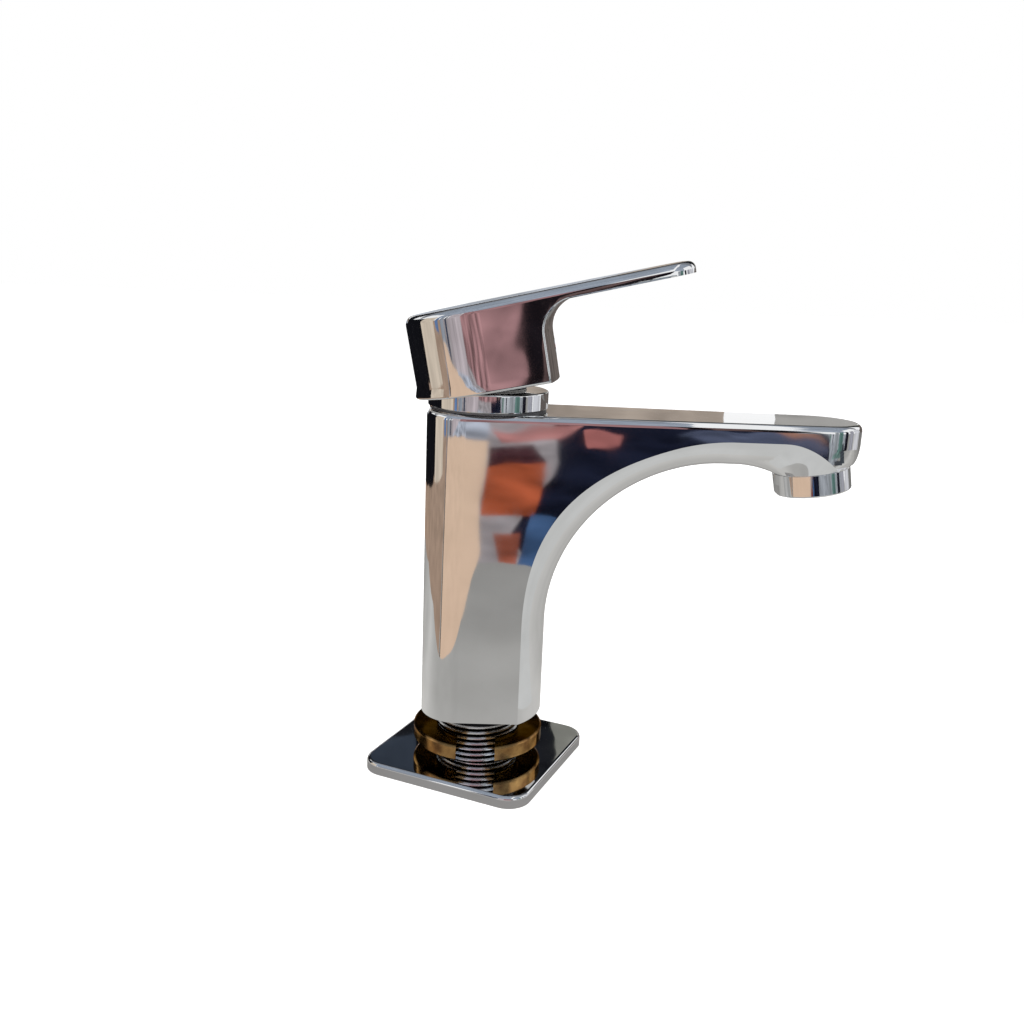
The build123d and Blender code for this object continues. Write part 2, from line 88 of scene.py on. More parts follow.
class Cut(Enum):
    """Ways to combine a piece with a tool shape."""

    AWAY = "DIFFERENCE"
    COMMON = "INTERSECT"
    TOGETHER = "UNION"


def arc(centre: Point, radius: float, start: float, end: float, steps: int) -> list[Point]:
    """Corners along a circular arc.

    Args:
        centre: Centre of the arc.
        radius: Its radius.
        start: First angle in degrees.
        end: Last angle in degrees.
        steps: Number of chords.

    Returns:
        The corners, one more than the chords.
    """
    corners = []
    for step in range(steps + 1):
        angle = radians(start + (end - start) * step / steps)
        corners.append((centre[0] + radius * cos(angle), centre[1] + radius * sin(angle)))
    return corners


def rounded(low: Point, high: Point, radius: float, steps: int) -> list[Point]:
    """Outline of a box with round corners.

    Args:
        low: Centre of the corner that is lowest in X and Y.
        high: Centre of the opposite corner.
        radius: Radius of the corners.
        steps: Number of chords at each corner.

    Returns:
        The corners of the outline.
    """
    outline = []
    for quarter, centre in enumerate((high, (low[0], high[1]), low, (high[0], low[1]))):
        outline += arc(centre, radius, 90.0 * quarter, 90.0 * quarter + 90.0, steps)
    return outline


class Shape:
    """One piece and the hand operations on it, in millimetres until it is settled."""

    def __init__(self, name: str, corners: Sequence[Sequence[float]], filled: bool) -> None:
        """Add a ring with one corner for each point, and put its corners there.

        Args:
            name: Name of the piece.
            corners: Places of the corners, in order.
            filled: Whether the ring has a face.
        """
        self.clear()
        fill = "NGON" if filled else "NOTHING"
        bpy.ops.mesh.primitive_circle_add(vertices=len(corners), radius=1.0, fill_type=fill)
        self.piece = bpy.context.object
        self.piece.name = name
        self.piece.data.name = name
        for vertex, corner in zip(self.vertices, corners):
            vertex.co = corner

    @classmethod
    def slab(cls, name: str, outline: Sequence[Point], low: float, high: float) -> Self:
        """Fill an outline in the XY plane and extrude it along Z.

        Args:
            name: Name of the piece.
            outline: Corners of the outline.
            low: Height of the lower face.
            high: Height of the upper face.

        Returns:
            The closed slab.
        """
        slab = cls(name, [(x, y, low) for x, y in outline], True)
        slab.edit()
        slab.pull((0.0, 0.0, high - low))
        return slab.close()

    @classmethod
    def turned(cls, name: str, profile: Sequence[Point], steps: int = 144) -> Self:
        """Spin a closed profile of (radius, height) corners once round Z.

        Args:
            name: Name of the piece.
            profile: Corners of the profile.
            steps: Number of facets round the turn.

        Returns:
            The closed turned piece.
        """
        turned = cls(name, [(r, 0.0, z) for r, z in profile], False)
        turned.edit()
        bpy.ops.mesh.spin(steps=steps, angle=tau, center=(0, 0, 0), axis=(0, 0, 1))
        return turned.weld()

    @classmethod
    def block(cls, name: str, low: Corner, high: Corner) -> Self:
        """A box between two corners, used as a tool."""
        outline = [(low[0], low[1]), (high[0], low[1]), (high[0], high[1]), (low[0], high[1])]
        return cls.slab(name, outline, low[2], high[2])

    @classmethod
    def rod(cls, name: str, radius: float, low: float, high: float, steps: int = 96) -> Self:
        """A round bar along Z, used as a tool."""
        outline = arc((0.0, 0.0), radius, 0.0, 360.0 * (1 - 1 / steps), steps - 1)
        return cls.slab(name, outline, low, high)

    @staticmethod
    def clear() -> None:
        """Leave edit mode and let go of everything."""
        if bpy.context.object is not None and bpy.context.object.mode != "OBJECT":
            bpy.ops.object.mode_set(mode="OBJECT")
        bpy.ops.object.select_all(action="DESELECT")

    @property
    def vertices(self) -> bpy.types.MeshVertices:
        """Corners of the mesh."""
        return self.piece.data.vertices

    def hold(self) -> None:
        """Select the piece alone and make it active."""
        self.clear()
        self.piece.select_set(True)
        bpy.context.view_layer.objects.active = self.piece

    def edit(self) -> None:
        """Open the piece in edit mode with all of it selected."""
        self.hold()
        bpy.ops.object.mode_set(mode="EDIT")
        bpy.ops.mesh.select_all(action="SELECT")

    def pull(self, along: Corner) -> None:
        """Extrude what is selected in the open piece."""
        bpy.ops.mesh.extrude_region_move(TRANSFORM_OT_translate={"value": along})

    def close(self) -> Self:
        """Turn all faces of the open piece outwards and go back to object mode.

        Returns:
            The piece itself.
        """
        bpy.ops.mesh.select_all(action="SELECT")
        bpy.ops.mesh.normals_make_consistent(inside=False)
        bpy.ops.object.mode_set(mode="OBJECT")
        return self

    def weld(self) -> Self:
        """Merge the doubled corners of the open piece and close it.

        Returns:
            The piece itself.
        """
        bpy.ops.mesh.select_all(action="SELECT")
        bpy.ops.mesh.remove_doubles(threshold=WELD)
        return self.close()

    def cap(self) -> Self:
        """Fill the open ends of the open piece and close it.

        Returns:
            The piece itself.
        """
        bpy.ops.mesh.select_all(action="SELECT")
        bpy.ops.mesh.fill_holes(sides=0)
        return self.close()

    def place(self, matrix: Matrix) -> Self:
        """Move the piece by a matrix and put that into its mesh.

        Args:
            matrix: Where it goes.

        Returns:
            The piece itself.
        """
        self.piece.matrix_world = matrix
        self.hold()
        bpy.ops.object.transform_apply(location=True, rotation=True, scale=True)
        return self

    def apply(self, modifier: bpy.types.Modifier) -> None:
        """Apply one modifier of the piece."""
        self.hold()
        bpy.ops.object.modifier_apply(modifier=modifier.name)

    def carve(self, tool: Self, cut: Cut = Cut.AWAY) -> None:
        """Combine the piece with a closed tool shape, and throw the tool away.

        Args:
            tool: The closed tool shape.
            cut: How they combine.
        """
        modifier = self.piece.modifiers.new(cut.name.lower(), "BOOLEAN")
        modifier.operation = cut.value
        modifier.solver = "EXACT"
        modifier.object = tool.piece
        self.apply(modifier)
        bpy.data.objects.remove(tool.piece)

    def release(self, edges: bool) -> None:
        """Let go of all edges or faces, so that they can be picked in object mode.

        Args:
            edges: Whether edges are picked next, or else faces.
        """
        self.edit()
        bpy.context.tool_settings.mesh_select_mode = (False, edges, not edges)
        bpy.ops.mesh.select_all(action="DESELECT")
        bpy.ops.object.mode_set(mode="OBJECT")

    def pick(self, test: EdgeTest) -> None:
        """Open the piece with only those edges selected whose two ends pass a test.

        Args:
            test: Which edges are selected.
        """
        self.release(True)
        for edge in self.piece.data.edges:
            edge.select = test(*(self.vertices[index].co for index in edge.vertices))
        bpy.ops.object.mode_set(mode="EDIT")

    def round(self, test: EdgeTest, width: float, segments: int) -> None:
        """Round the edges whose two ends pass a test.

        Args:
            test: Which edges are rounded.
            width: Size of the rounding.
            segments: Number of facets across it.
        """
        self.pick(test)
        bpy.ops.mesh.bevel(offset=width, segments=segments, profile=0.5, affect="EDGES")
        self.close()

    def score(self, place: Corner, normal: Corner, beyond: float = -inf) -> None:
        """Add edges where a plane crosses the piece.

        Args:
            place: A place on the plane.
            normal: The plane's normal.
            beyond: Only faces that lie wholly past this X are crossed.
        """
        self.release(False)
        for face in self.piece.data.polygons:
            face.select = min(self.vertices[index].co.x for index in face.vertices) > beyond
        bpy.ops.object.mode_set(mode="EDIT")
        bpy.ops.mesh.bisect(plane_co=place, plane_no=normal)
        bpy.ops.object.mode_set(mode="OBJECT")

    def settle(self, sharp: float = 28.0) -> Piece:
        """Bring the finished piece to metres and shade it like a polished casting.

        Args:
            sharp: Angle in degrees past which an edge stays crisp.

        Returns:
            The piece, at the origin with its place in its mesh.
        """
        self.place(Matrix.Scale(MM, 4))
        bpy.ops.object.shade_smooth_by_angle(angle=radians(sharp))
        modifier = self.piece.modifiers.new("even_shading", "WEIGHTED_NORMAL")
        modifier.mode = "FACE_AREA"
        modifier.keep_sharp = True
        self.apply(modifier)
        return self.piece


class Nodes:
    """A node tree with one shader at its output, and the few links that the finishes share."""

    low_stop = 0.3
    high_stop = 0.7

    def __init__(self, owner: bpy.types.ID, shader: str, output: str = "Material") -> None:
        """Empty the owner's tree and start it with one shader.

        Args:
            owner: The material or world.
            shader: Kind of the shader.
            output: Kind of the output.
        """
        owner.use_nodes = True
        self.tree = owner.node_tree
        self.tree.nodes.clear()
        self.shader = self.add(shader)
        self.add("Output" + output, {"Surface": self.shader.outputs[0]})

    def add(self, kind: str, inputs: dict | None = None, **settings: str) -> bpy.types.Node:
        """Add one node.

        Args:
            kind: Kind of the node.
            inputs: Values or sockets for its inputs.
            settings: Values for its own properties.

        Returns:
            The new node.
        """
        node = self.tree.nodes.new("ShaderNode" + kind)
        for name, value in settings.items():
            setattr(node, name, value)
        self.feed(node, inputs or {})
        return node

    def feed(self, node: bpy.types.Node, inputs: dict) -> None:
        """Link a node's inputs to sockets, or set their own values.

        Args:
            node: The node.
            inputs: Sockets or values by the inputs' names.
        """
        for name, value in inputs.items():
            if isinstance(value, Socket):
                self.tree.links.new(value, node.inputs[name])
            else:
                node.inputs[name].default_value = value

    def surface(self, inputs: dict) -> None:
        """Feed the shader at the output."""
        self.feed(self.shader, inputs)

    @cached_property
    def place(self) -> Socket:
        """Object coordinates."""
        return self.add("TexCoord").outputs["Object"]

    @cached_property
    def axes(self) -> bpy.types.bpy_prop_collection:
        """The three Object coordinates by their letters."""
        return self.add("SeparateXYZ", {"Vector": self.place}).outputs

    def noise(self, scale: float, detail: float = 2.0, stretch: Tone = (1, 1, 1)) -> Socket:
        """Noise on Object coordinates.

        Args:
            scale: Features per metre.
            detail: Octaves of the noise.
            stretch: Share of the scale along each axis.

        Returns:
            The noise's factor.
        """
        mapping = self.add("Mapping", {"Vector": self.place, "Scale": stretch})
        inputs = {"Vector": mapping.outputs["Vector"], "Scale": scale, "Detail": detail}
        return self.add("TexNoise", inputs).outputs["Fac"]

    def rings(self, scale: float, distortion: float) -> Socket:
        """Fine rings round Z, as a lathe tool leaves them.

        Args:
            scale: How close they lie.
            distortion: How uneven they are.

        Returns:
            The rings' factor.
        """
        inputs = {"Vector": self.place, "Scale": scale, "Distortion": distortion, "Detail": 2.0}
        node = self.add("TexWave", inputs, wave_type="RINGS", rings_direction="Z")
        return node.outputs["Fac"]

    def span(
        self, value: Socket, start: float, end: float, low: float = 0.0, high: float = 1.0
    ) -> Socket:
        """Map a value between two ends to a range."""
        ends = {"From Min": start, "From Max": end, "To Min": low, "To Max": high}
        return self.add("MapRange", {"Value": value, **ends}).outputs["Result"]

    def tones(self, factor: Socket, stops: Sequence[tuple[float, Colour]]) -> bpy.types.Node:
        """A ramp of colours by a factor, each with its place on the ramp.

        Args:
            factor: Place on the ramp.
            stops: Places on the ramp and their colours.

        Returns:
            The ramp.
        """
        node = self.add("ValToRGB", {"Fac": factor})
        elements = node.color_ramp.elements
        while len(elements) < len(stops):
            elements.new(0.5)
        for element, (where, colour) in zip(elements, stops):
            element.position = where
            element.color = colour
        return node

    def blend(self, factor: Socket, first: Colour, second: Colour) -> Socket:
        """A colour between two tones by a factor."""
        stops = ((self.low_stop, first), (self.high_stop, second))
        return self.tones(factor, stops).outputs["Color"]

    def roughen(self, factor: Socket, smooth: float, rough: float) -> None:
        """Spread the shader's roughness over a range by a factor."""
        spread = self.span(factor, self.low_stop, self.high_stop, smooth, rough)
        self.surface({"Roughness": spread})

    def bump(self, factor: Socket, height: float, strength: float) -> None:
        """Raise the surface by a factor."""
        inputs = {"Height": factor, "Distance": height, "Strength": strength}
        self.surface({"Normal": self.add("Bump", inputs).outputs["Normal"]})


@dataclass(frozen=True)
class Coat:
    """What all finishes share: a name, and a smooth and a rough end."""

    name: str
    smooth: float
    rough: float

    def make(self) -> bpy.types.Material:
        """Build the material.

        Returns:
            The material.
        """
        material = bpy.data.materials.new(self.name)
        self.dress(Nodes(material, "BsdfPrincipled"))
        return material

    def dress(self, nodes: Nodes) -> None:
        """Feed the shader."""
        raise NotImplementedError


@dataclass(frozen=True)
class ChromePlate(Coat):
    """Bright chrome over a polished casting, with faint smears and a slow waviness."""

    name: str = "chrome_plate"
    smooth: float = 0.02
    rough: float = 0.06
    light: Colour = (0.86, 0.87, 0.89, 1.0)
    dull: Colour = (0.80, 0.81, 0.82, 1.0)
    wave: float = 0.0004
    waviness: float = 0.5

    def dress(self, nodes: Nodes) -> None:
        """Feed the shader.

        Args:
            nodes: The material's nodes.
        """
        colour = nodes.blend(nodes.noise(scale=55.0, detail=4.0), self.light, self.dull)
        nodes.surface({"Metallic": 1.0, "Base Color": colour})
        smears = nodes.noise(scale=70.0, detail=6.0, stretch=(1.0, 1.0, 0.5))
        nodes.roughen(smears, self.smooth, self.rough)
        nodes.bump(nodes.noise(scale=38.0, detail=1.0), self.wave, self.waviness)


@dataclass(frozen=True)
class ThreadChrome(Coat):
    """Chrome on the thread: bright crests, with painted shade darkening the roots and the smooth
    neck above them.
    """

    name: str = "thread_chrome"
    smooth: float = 0.16
    rough: float = 0.26
    crest: Colour = (0.88, 0.89, 0.90, 1.0)
    # near-black root colour: painted shade in the thread's grooves
    root: Colour = (0.012, 0.012, 0.015, 1.0)
    root_radius: float = 15.5
    crest_radius: float = 16.5
    # above this height the smooth neck under the body gets painted shade
    neck: float = 19.4
    neck_fade: float = 0.5

    def dress(self, nodes: Nodes) -> None:
        """Feed the shader.

        Args:
            nodes: The material's nodes.
        """
        level = nodes.add("CombineXYZ", {"X": nodes.axes["X"], "Y": nodes.axes["Y"]})
        radius = nodes.add("VectorMath", {0: level.outputs["Vector"]}, operation="LENGTH")
        # painted shade in the grooves: dark below the crest radius
        ends = (self.root_radius * MM, self.crest_radius * MM)
        high = nodes.span(radius.outputs["Value"], *ends)
        # painted shade on the neck: dark above the neck height
        ends = (self.neck * MM, (self.neck + self.neck_fade) * MM)
        below = nodes.span(nodes.axes["Z"], *ends, 1.0, 0.0)
        unshaded = nodes.add("Math", {0: high, 1: below}, operation="MULTIPLY").outputs["Value"]
        colour = nodes.blend(unshaded, self.root, self.crest)
        nodes.surface({"Metallic": 1.0, "Base Color": colour})
        nodes.roughen(nodes.noise(scale=300.0, detail=4.0), self.smooth, self.rough)


@dataclass(frozen=True)
class TurnedBrass(Coat):
    """Machined brass with tool rings and patches of tarnish, and painted shade that darkens its two
    end faces.
    """

    name: str = "turned_brass"
    smooth: float = 0.10
    rough: float = 0.26
    bright: Colour = (0.58, 0.35, 0.13, 1.0)
    tarnish: Colour = (0.20, 0.10, 0.04, 1.0)
    # Heights of the two end faces that get painted shade; the defaults lie far off, so no face is
    # darkened.
    low: float = -1000.0
    high: float = 1000.0
    end_shade: float = 0.14
    end_shade_fade: float = 0.5
    grazing: Colour = WHITE
    tool_mark: float = 0.00002

    def dress(self, nodes: Nodes) -> None:
        """Feed the shader.

        Args:
            nodes: The material's nodes.
        """
        shade = nodes.blend(nodes.noise(scale=160.0, detail=6.0), self.bright, self.tarnish)
        # Painted shade: darken the two end faces, fading in over a short height.
        for face, inside in ((self.low, self.end_shade_fade), (self.high, -self.end_shade_fade)):
            edge = nodes.span(nodes.axes["Z"], face * MM, (face + inside) * MM, self.end_shade)
            inputs = {"Fac": 1.0, "Color1": shade, "Color2": edge}
            shade = nodes.add("MixRGB", inputs, blend_type="MULTIPLY").outputs["Color"]
        nodes.surface({"Metallic": 1.0, "Specular Tint": self.grazing, "Base Color": shade})
        nodes.roughen(nodes.noise(scale=240.0, detail=5.0), self.smooth, self.rough)
        nodes.bump(nodes.rings(scale=330.0, distortion=1.0), self.tool_mark, strength=0.3)


@dataclass(frozen=True)
class TurnedSteel(Coat):
    """Plain machined steel."""

    name: str = "turned_steel"
    smooth: float = 0.22
    rough: float = 0.38
    bright: Colour = (0.64, 0.64, 0.63, 1.0)
    dull: Colour = (0.50, 0.50, 0.50, 1.0)

    def dress(self, nodes: Nodes) -> None:
        """Feed the shader.

        Args:
            nodes: The material's nodes.
        """
        colour = nodes.blend(nodes.noise(scale=300.0, detail=4.0), self.bright, self.dull)
        nodes.surface({"Metallic": 1.0, "Base Color": colour})
        nodes.roughen(nodes.noise(scale=500.0, detail=4.0), self.smooth, self.rough)


@dataclass(frozen=True)
class Moulding(Coat):
    """A moulded or fired material that isn't metal: plastic, rubber or ceramic."""

    base: Colour
    shade: Colour
    grain: float
    grain_height: float = 0.00003

    def dress(self, nodes: Nodes) -> None:
        """Feed the shader.

        Args:
            nodes: The material's nodes.
        """
        colour = nodes.blend(nodes.noise(scale=220.0, detail=4.0), self.base, self.shade)
        nodes.surface({"Base Color": colour})
        nodes.roughen(nodes.noise(scale=420.0, detail=4.0), self.smooth, self.rough)
        nodes.bump(nodes.noise(scale=1800.0, detail=3.0), self.grain_height, self.grain)


@dataclass
class Casting:
    """The cast body: column, arch and spout in one piece."""

    bottom: float = 23.1
    top: float = 142.6
    back: float = 22.5
    front: float = 25.0
    back_round: float = 15.0
    taper: float = 1.8
    spout_reach: float = 124.0
    nose_radius: float = 17.0
    arch_radius: float = 65.0
    arch_top: float = 125.0
    crease_column: float = 9.2
    crease_spout: float = 10.8
    crease_swell: float = 2.7
    swell_end: float = 74.0
    cove_radius: float = 3.0
    top_round: float = 2.6
    outlet_lean: float = 10.0
    outlet_radius: float = 14.4
    outlet_bore: float = 11.5
    outlet_depth: float = 9.0
    lip: float = 0.6
    tuck: float = 2.7
    tuck_top: float = 135.7
    tuck_height: float = 8.7
    tuck_full: float = 50.0
    tuck_end: float = 88.0
    droop_start: float = 109.0
    droop: float = 0.0226
    bowl_back: float = 30.0
    bowl_spread: float = 0.1
    bowl_inside: float = 0.999
    bowl_lap: float = 0.03
    bowl_probe: float = 0.05
    bowl_blend: float = 0.4
    bowl_root: float = 1.5
    bowl_tuck: float = 0.97
    roundness: float = 0.78
    socket_radius: float = 15.94
    socket_top: float = 35.1
    neck_radius: float = 13.5
    neck_top: float = 38.2
    hose_low: Point = (-7.1, -5.5)
    hose_high: Point = (9.6, 5.5)
    hose_round: float = 12.0
    hose_top: float = 90.6
    inlet_x: float = -2.0
    inlet_y: float = 7.5
    inlet_radius: float = 4.5
    inlet_top: float = 102.6
    chamber_radius: float = 17.5
    chamber_bottom: float = 112.6
    mouth_radius: float = 19.5
    mouth_bottom: float = 135.0
    tool_half: float = 60.0

    @property
    def arch_centre(self) -> Point:
        """Axis of the arch, in x and z."""
        return (self.front + self.arch_radius, self.arch_top - self.arch_radius)

    @property
    def cove_end(self) -> float:
        """Where the cove meets the outlet's seat, in x."""
        return self.spout_reach - self.outlet_radius * cos(radians(self.outlet_lean))

    @property
    def seat_centre(self) -> Point:
        """Centre of the outlet's seat, in x and z."""
        rise = (self.spout_reach - self.cove_end) * tan(radians(self.outlet_lean))
        return (self.spout_reach, self.arch_top - self.cove_radius + rise)

    @property
    def tool_bottom(self) -> float:
        """Lower end of the tools for the space under the spout."""
        return self.bottom - 2 * SPARE

    def outlet_frame(self) -> Matrix:
        """Frame on the outlet's seat, with Z along the stream.

        Returns:
            The frame.
        """
        x, z = self.seat_centre
        turn = Matrix.Rotation(radians(180.0 - self.outlet_lean), 4, "Y")
        return Matrix.Translation((x, 0.0, z)) @ turn

    def half_width(self, x: float) -> float:
        """Half the width of column and spout at a place along them.

        Args:
            x: The place.

        Returns:
            The half width there.
        """
        lean = radians(self.taper)
        side_x = self.spout_reach + self.nose_radius * sin(lean)
        return self.nose_radius * cos(lean) + (side_x - x) * tan(lean)

    def plan(self) -> list[Point]:
        """Outline of column and spout from above.

        Returns:
            The corners of the outline.
        """
        slope = 90.0 - self.taper
        x = self.back_round - self.back
        y = self.half_width(x) - self.back_round / cos(radians(self.taper))
        outline = arc((self.spout_reach, 0.0), self.nose_radius, -slope, slope, 64)
        outline += arc((x, y), self.back_round, slope, 180.0, 36)
        outline += arc((x, -y), self.back_round, 180.0, 360.0 - slope, 36)
        return outline

    def tucked(self, angle: float, height: float) -> float:
        """How far the rounded nose draws in towards the outlet.

        Args:
            angle: Direction from the nose's centre in degrees, 0 along the spout.
            height: Height on the nose.

        Returns:
            The distance inside the nose's own radius.
        """
        fade = (self.tuck_end - abs(angle)) / (self.tuck_end - self.tuck_full)
        fade = min(max(fade, 0.0), 1.0)
        depth = min(max((self.tuck_top - height) / self.tuck_height, 0.0), 1.0)
        return self.tuck * fade * fade * (3 - 2 * fade) * (1 - sqrt(1 - depth * depth))

    def sag(self, share: float) -> float:
        """Rise of the underside's rounded section, at a share of its half width."""
        rise = 1 - sqrt(1 - (self.roundness * share) ** 2)
        return rise / (1 - sqrt(1 - self.roundness**2))

    def crease(self, turn: float) -> float:
        """How far the crease lies above the underside's middle line.

        Args:
            turn: Angle along the arch in degrees, 0 at the column and 90 at the spout.

        Returns:
            The height across the arch.
        """
        even = self.crease_column + (self.crease_spout - self.crease_column) * turn / 90.0
        swell = sin(radians(180.0 * min(turn / self.swell_end, 1.0))) ** 2
        return even + self.crease_swell * swell

    def seat(self, x: float) -> float:
        """Height of the outlet's leaning seat at a place along the spout."""
        return self.seat_centre[1] + (x - self.spout_reach) * tan(radians(self.outlet_lean))

    def crease_end(self, x: float) -> float:
        """Height of the crease where it droops round the outlet.

        Args:
            x: Place along the spout.

        Returns:
            The height there.
        """
        level = self.arch_top + self.crease_spout
        drooped = level - self.droop * max(0.0, x - self.droop_start) ** 2
        return max(drooped, self.seat(x) + self.lip)

    def underside(self, x: float, y: float) -> float:
        """Height of the rounded underside of the spout, with its drooping crease."""
        share = min(abs(y) / self.half_width(x), 1.0)
        return self.arch_top + (self.crease_end(x) - self.arch_top) * self.sag(share)

    def under_spout(self) -> Shape:
        """Tool for the space under the spout: one section up the column and round the arch.

        Returns:
            The tool.
        """
        centre_x, centre_z = self.arch_centre
        half = self.half_width(self.front - self.crease_column)
        steps, past = 40, 1.1
        section = []
        for step in range(-steps, steps + 1):
            share = past * step / steps
            section.append((self.front - self.crease_column * self.sag(share), half * share))
        inner = centre_x - SPARE / 2
        section += [(inner, past * half), (inner, -past * half)]
        tool = Shape("under_spout", [(x, y, self.tool_bottom) for x, y in section], True)
        tool.edit()
        tool.pull((0.0, 0.0, centre_z - self.tool_bottom))
        centre = (centre_x, 0.0, centre_z)
        bpy.ops.mesh.spin(steps=120, angle=pi / 2, center=centre, axis=(0.0, -1.0, 0.0))
        tool.pull((self.droop_start - centre_x, 0.0, 0.0))
        tool.weld()
        for vertex in tool.vertices:
            along = max(0.0, centre_x - vertex.co.x)
            above = max(0.0, vertex.co.z - centre_z)
            far = hypot(along, above)
            if far > self.arch_radius:
                stretch = self.crease(degrees(atan2(above, along))) / self.crease_column
                grow = (self.arch_radius + (far - self.arch_radius) * stretch) / far - 1
                vertex.co.x -= along * grow
                vertex.co.z += above * grow
            vertex.co.y *= self.half_width(vertex.co.x) / half
        return tool

    def below_outlet(self) -> Shape:
        """Tool for the space below the drooping crease round the outlet.

        Returns:
            The tool.
        """
        start = self.droop_start - TOUCH
        far = self.spout_reach + 2 * self.nose_radius
        side = [(start, self.tool_bottom), (far, self.tool_bottom)]
        steps = 48
        for step in range(steps + 1):
            x = far + (start - far) * step / steps
            side.append((x, self.crease_end(x)))
        tool = Shape.slab("below_outlet", side, -self.tool_half, self.tool_half)
        return tool.place(Matrix.Rotation(pi / 2, 4, "X"))

    def bowl_line(self, angle: float, levels: int) -> list[Vector]:
        """One line of the bowl, from the outlet's seat out to the underside that it meets smoothly.

        Args:
            angle: Direction from the outlet's centre, 0 along the spout.
            levels: Number of steps.

        Returns:
            The corners along the line, and one more inside the spout.
        """
        lean = radians(self.outlet_lean)
        ahead, across = cos(angle), sin(angle)
        turn = degrees(atan2(across, ahead))
        reach = self.nose_radius
        for _ in range(4):
            height = self.crease_end(self.spout_reach + reach * ahead)
            reach = self.nose_radius - self.tucked(turn, height)
        if ahead < 0:
            spread = max(abs(across) + tan(radians(self.taper)) * ahead, self.bowl_spread)
            reach = min(reach / spread, self.bowl_back / -ahead)
        reach *= self.bowl_inside
        radius = self.outlet_radius
        start = Vector((radius * cos(lean) * ahead, radius * across, 0.0))
        end = Vector((reach * ahead, reach * across, 0.0))
        low = self.seat_centre[1] + radius * sin(lean) * ahead
        edge_x = self.spout_reach + end.x
        edge = self.underside(edge_x, end.y) if ahead < 0 else self.crease_end(edge_x)
        top = self.bowl_lap + edge
        chord = top - low
        probe = self.bowl_probe
        inner = start.lerp(end, 1 - probe)
        behind = max(0.0, -ahead)
        met = min(1.0, behind / self.bowl_blend)
        leave = chord * (1 + behind)
        arrive = top - self.bowl_lap - self.underside(self.spout_reach + inner.x, inner.y)
        arrive = chord + (arrive / probe - chord) * met
        corners = []
        for level in range(levels + 1):
            s = level / levels
            height = low + chord * (3 * s * s - 2 * s**3)
            height += leave * (s - 2 * s * s + s**3) + arrive * (s**3 - s * s)
            corners.append(start.lerp(end, s) + Vector((self.spout_reach, 0.0, height)))
        root = Vector((self.spout_reach, 0.0, top + self.bowl_root))
        corners.append(start.lerp(end, self.bowl_tuck) + root)
        return corners

    def bowl(self) -> Shape:
        """The bowl from the crease down to the outlet's seat, bridged through its rings.

        Returns:
            The closed bowl.
        """
        levels, facets = 20, 144
        lines = [self.bowl_line(tau * step / facets, levels) for step in range(facets)]
        rings = [Shape("bowl", corners, False) for corners in zip(*lines)]
        rings[0].hold()
        for ring in rings:
            ring.piece.select_set(True)
        bpy.ops.object.join()
        rings[0].edit()
        bpy.ops.mesh.bridge_edge_loops()
        return rings[0].cap()

    def tuck_nose(self, piece: Shape) -> None:
        """Round the lower half of the nose in towards the outlet.

        Args:
            piece: The casting.
        """
        levels, nose = 12, self.spout_reach + LAP
        for level in range(1, levels + 1):
            height = self.tuck_top - self.tuck_height * sin(pi / 2 * level / levels)
            piece.score((0.0, 0.0, height), (0.0, 0.0, 1.0), nose)
        for vertex in piece.vertices:
            ahead, across = vertex.co.x - self.spout_reach, vertex.co.y
            if ahead > 0 and vertex.co.z < self.tuck_top:
                turn = degrees(atan2(across, ahead))
                share = 1 - self.tucked(turn, vertex.co.z) / self.nose_radius
                vertex.co.x = self.spout_reach + ahead * share
                vertex.co.y = across * share

    def hollow(self, piece: Shape) -> None:
        """Open the shank's socket, the hose space, the inlets and the cartridge chamber.

        Args:
            piece: The casting.
        """
        past, low = self.top + SPARE, self.bottom - SPARE
        piece.carve(Shape.rod("socket", self.socket_radius, low, self.socket_top))
        low = self.socket_top - LAP
        piece.carve(Shape.rod("hose_neck", self.neck_radius, low, self.neck_top))
        outline = rounded(self.hose_low, self.hose_high, self.hose_round, 12)
        piece.carve(Shape.slab("hose_space", outline, self.neck_top - LAP, self.hose_top))
        low = self.hose_top - LAP
        for y in (self.inlet_y, -self.inlet_y):
            inlet = Shape.rod("inlet", self.inlet_radius, low, self.inlet_top, 48)
            piece.carve(inlet.place(Matrix.Translation((self.inlet_x, y, 0.0))))
        piece.carve(Shape.rod("chamber", self.chamber_radius, self.chamber_bottom, past))
        piece.carve(Shape.rod("mouth", self.mouth_radius, self.mouth_bottom, past))

    def build(self) -> Piece:
        """Model the casting, first its outside and then its hollows.

        Returns:
            The finished casting.
        """
        piece = Shape.slab("body_casting", self.plan(), self.bottom, self.top)
        piece.round(lambda a, b: min(a.z, b.z) > self.top - TOUCH, self.top_round, 6)
        self.tuck_nose(piece)
        piece.carve(self.under_spout())
        centre_x, centre_z = self.arch_centre
        low = (centre_x - SPARE, -self.tool_half, self.tool_bottom)
        high = (self.droop_start, self.tool_half, centre_z + SPARE)
        piece.carve(Shape.block("core", low, high))
        piece.carve(self.below_outlet())
        piece.carve(self.bowl(), Cut.TOGETHER)
        outlet = Shape.rod("outlet", self.outlet_bore, -self.outlet_depth, SPARE)
        piece.carve(outlet.place(self.outlet_frame()))
        self.hollow(piece)
        return piece.settle()


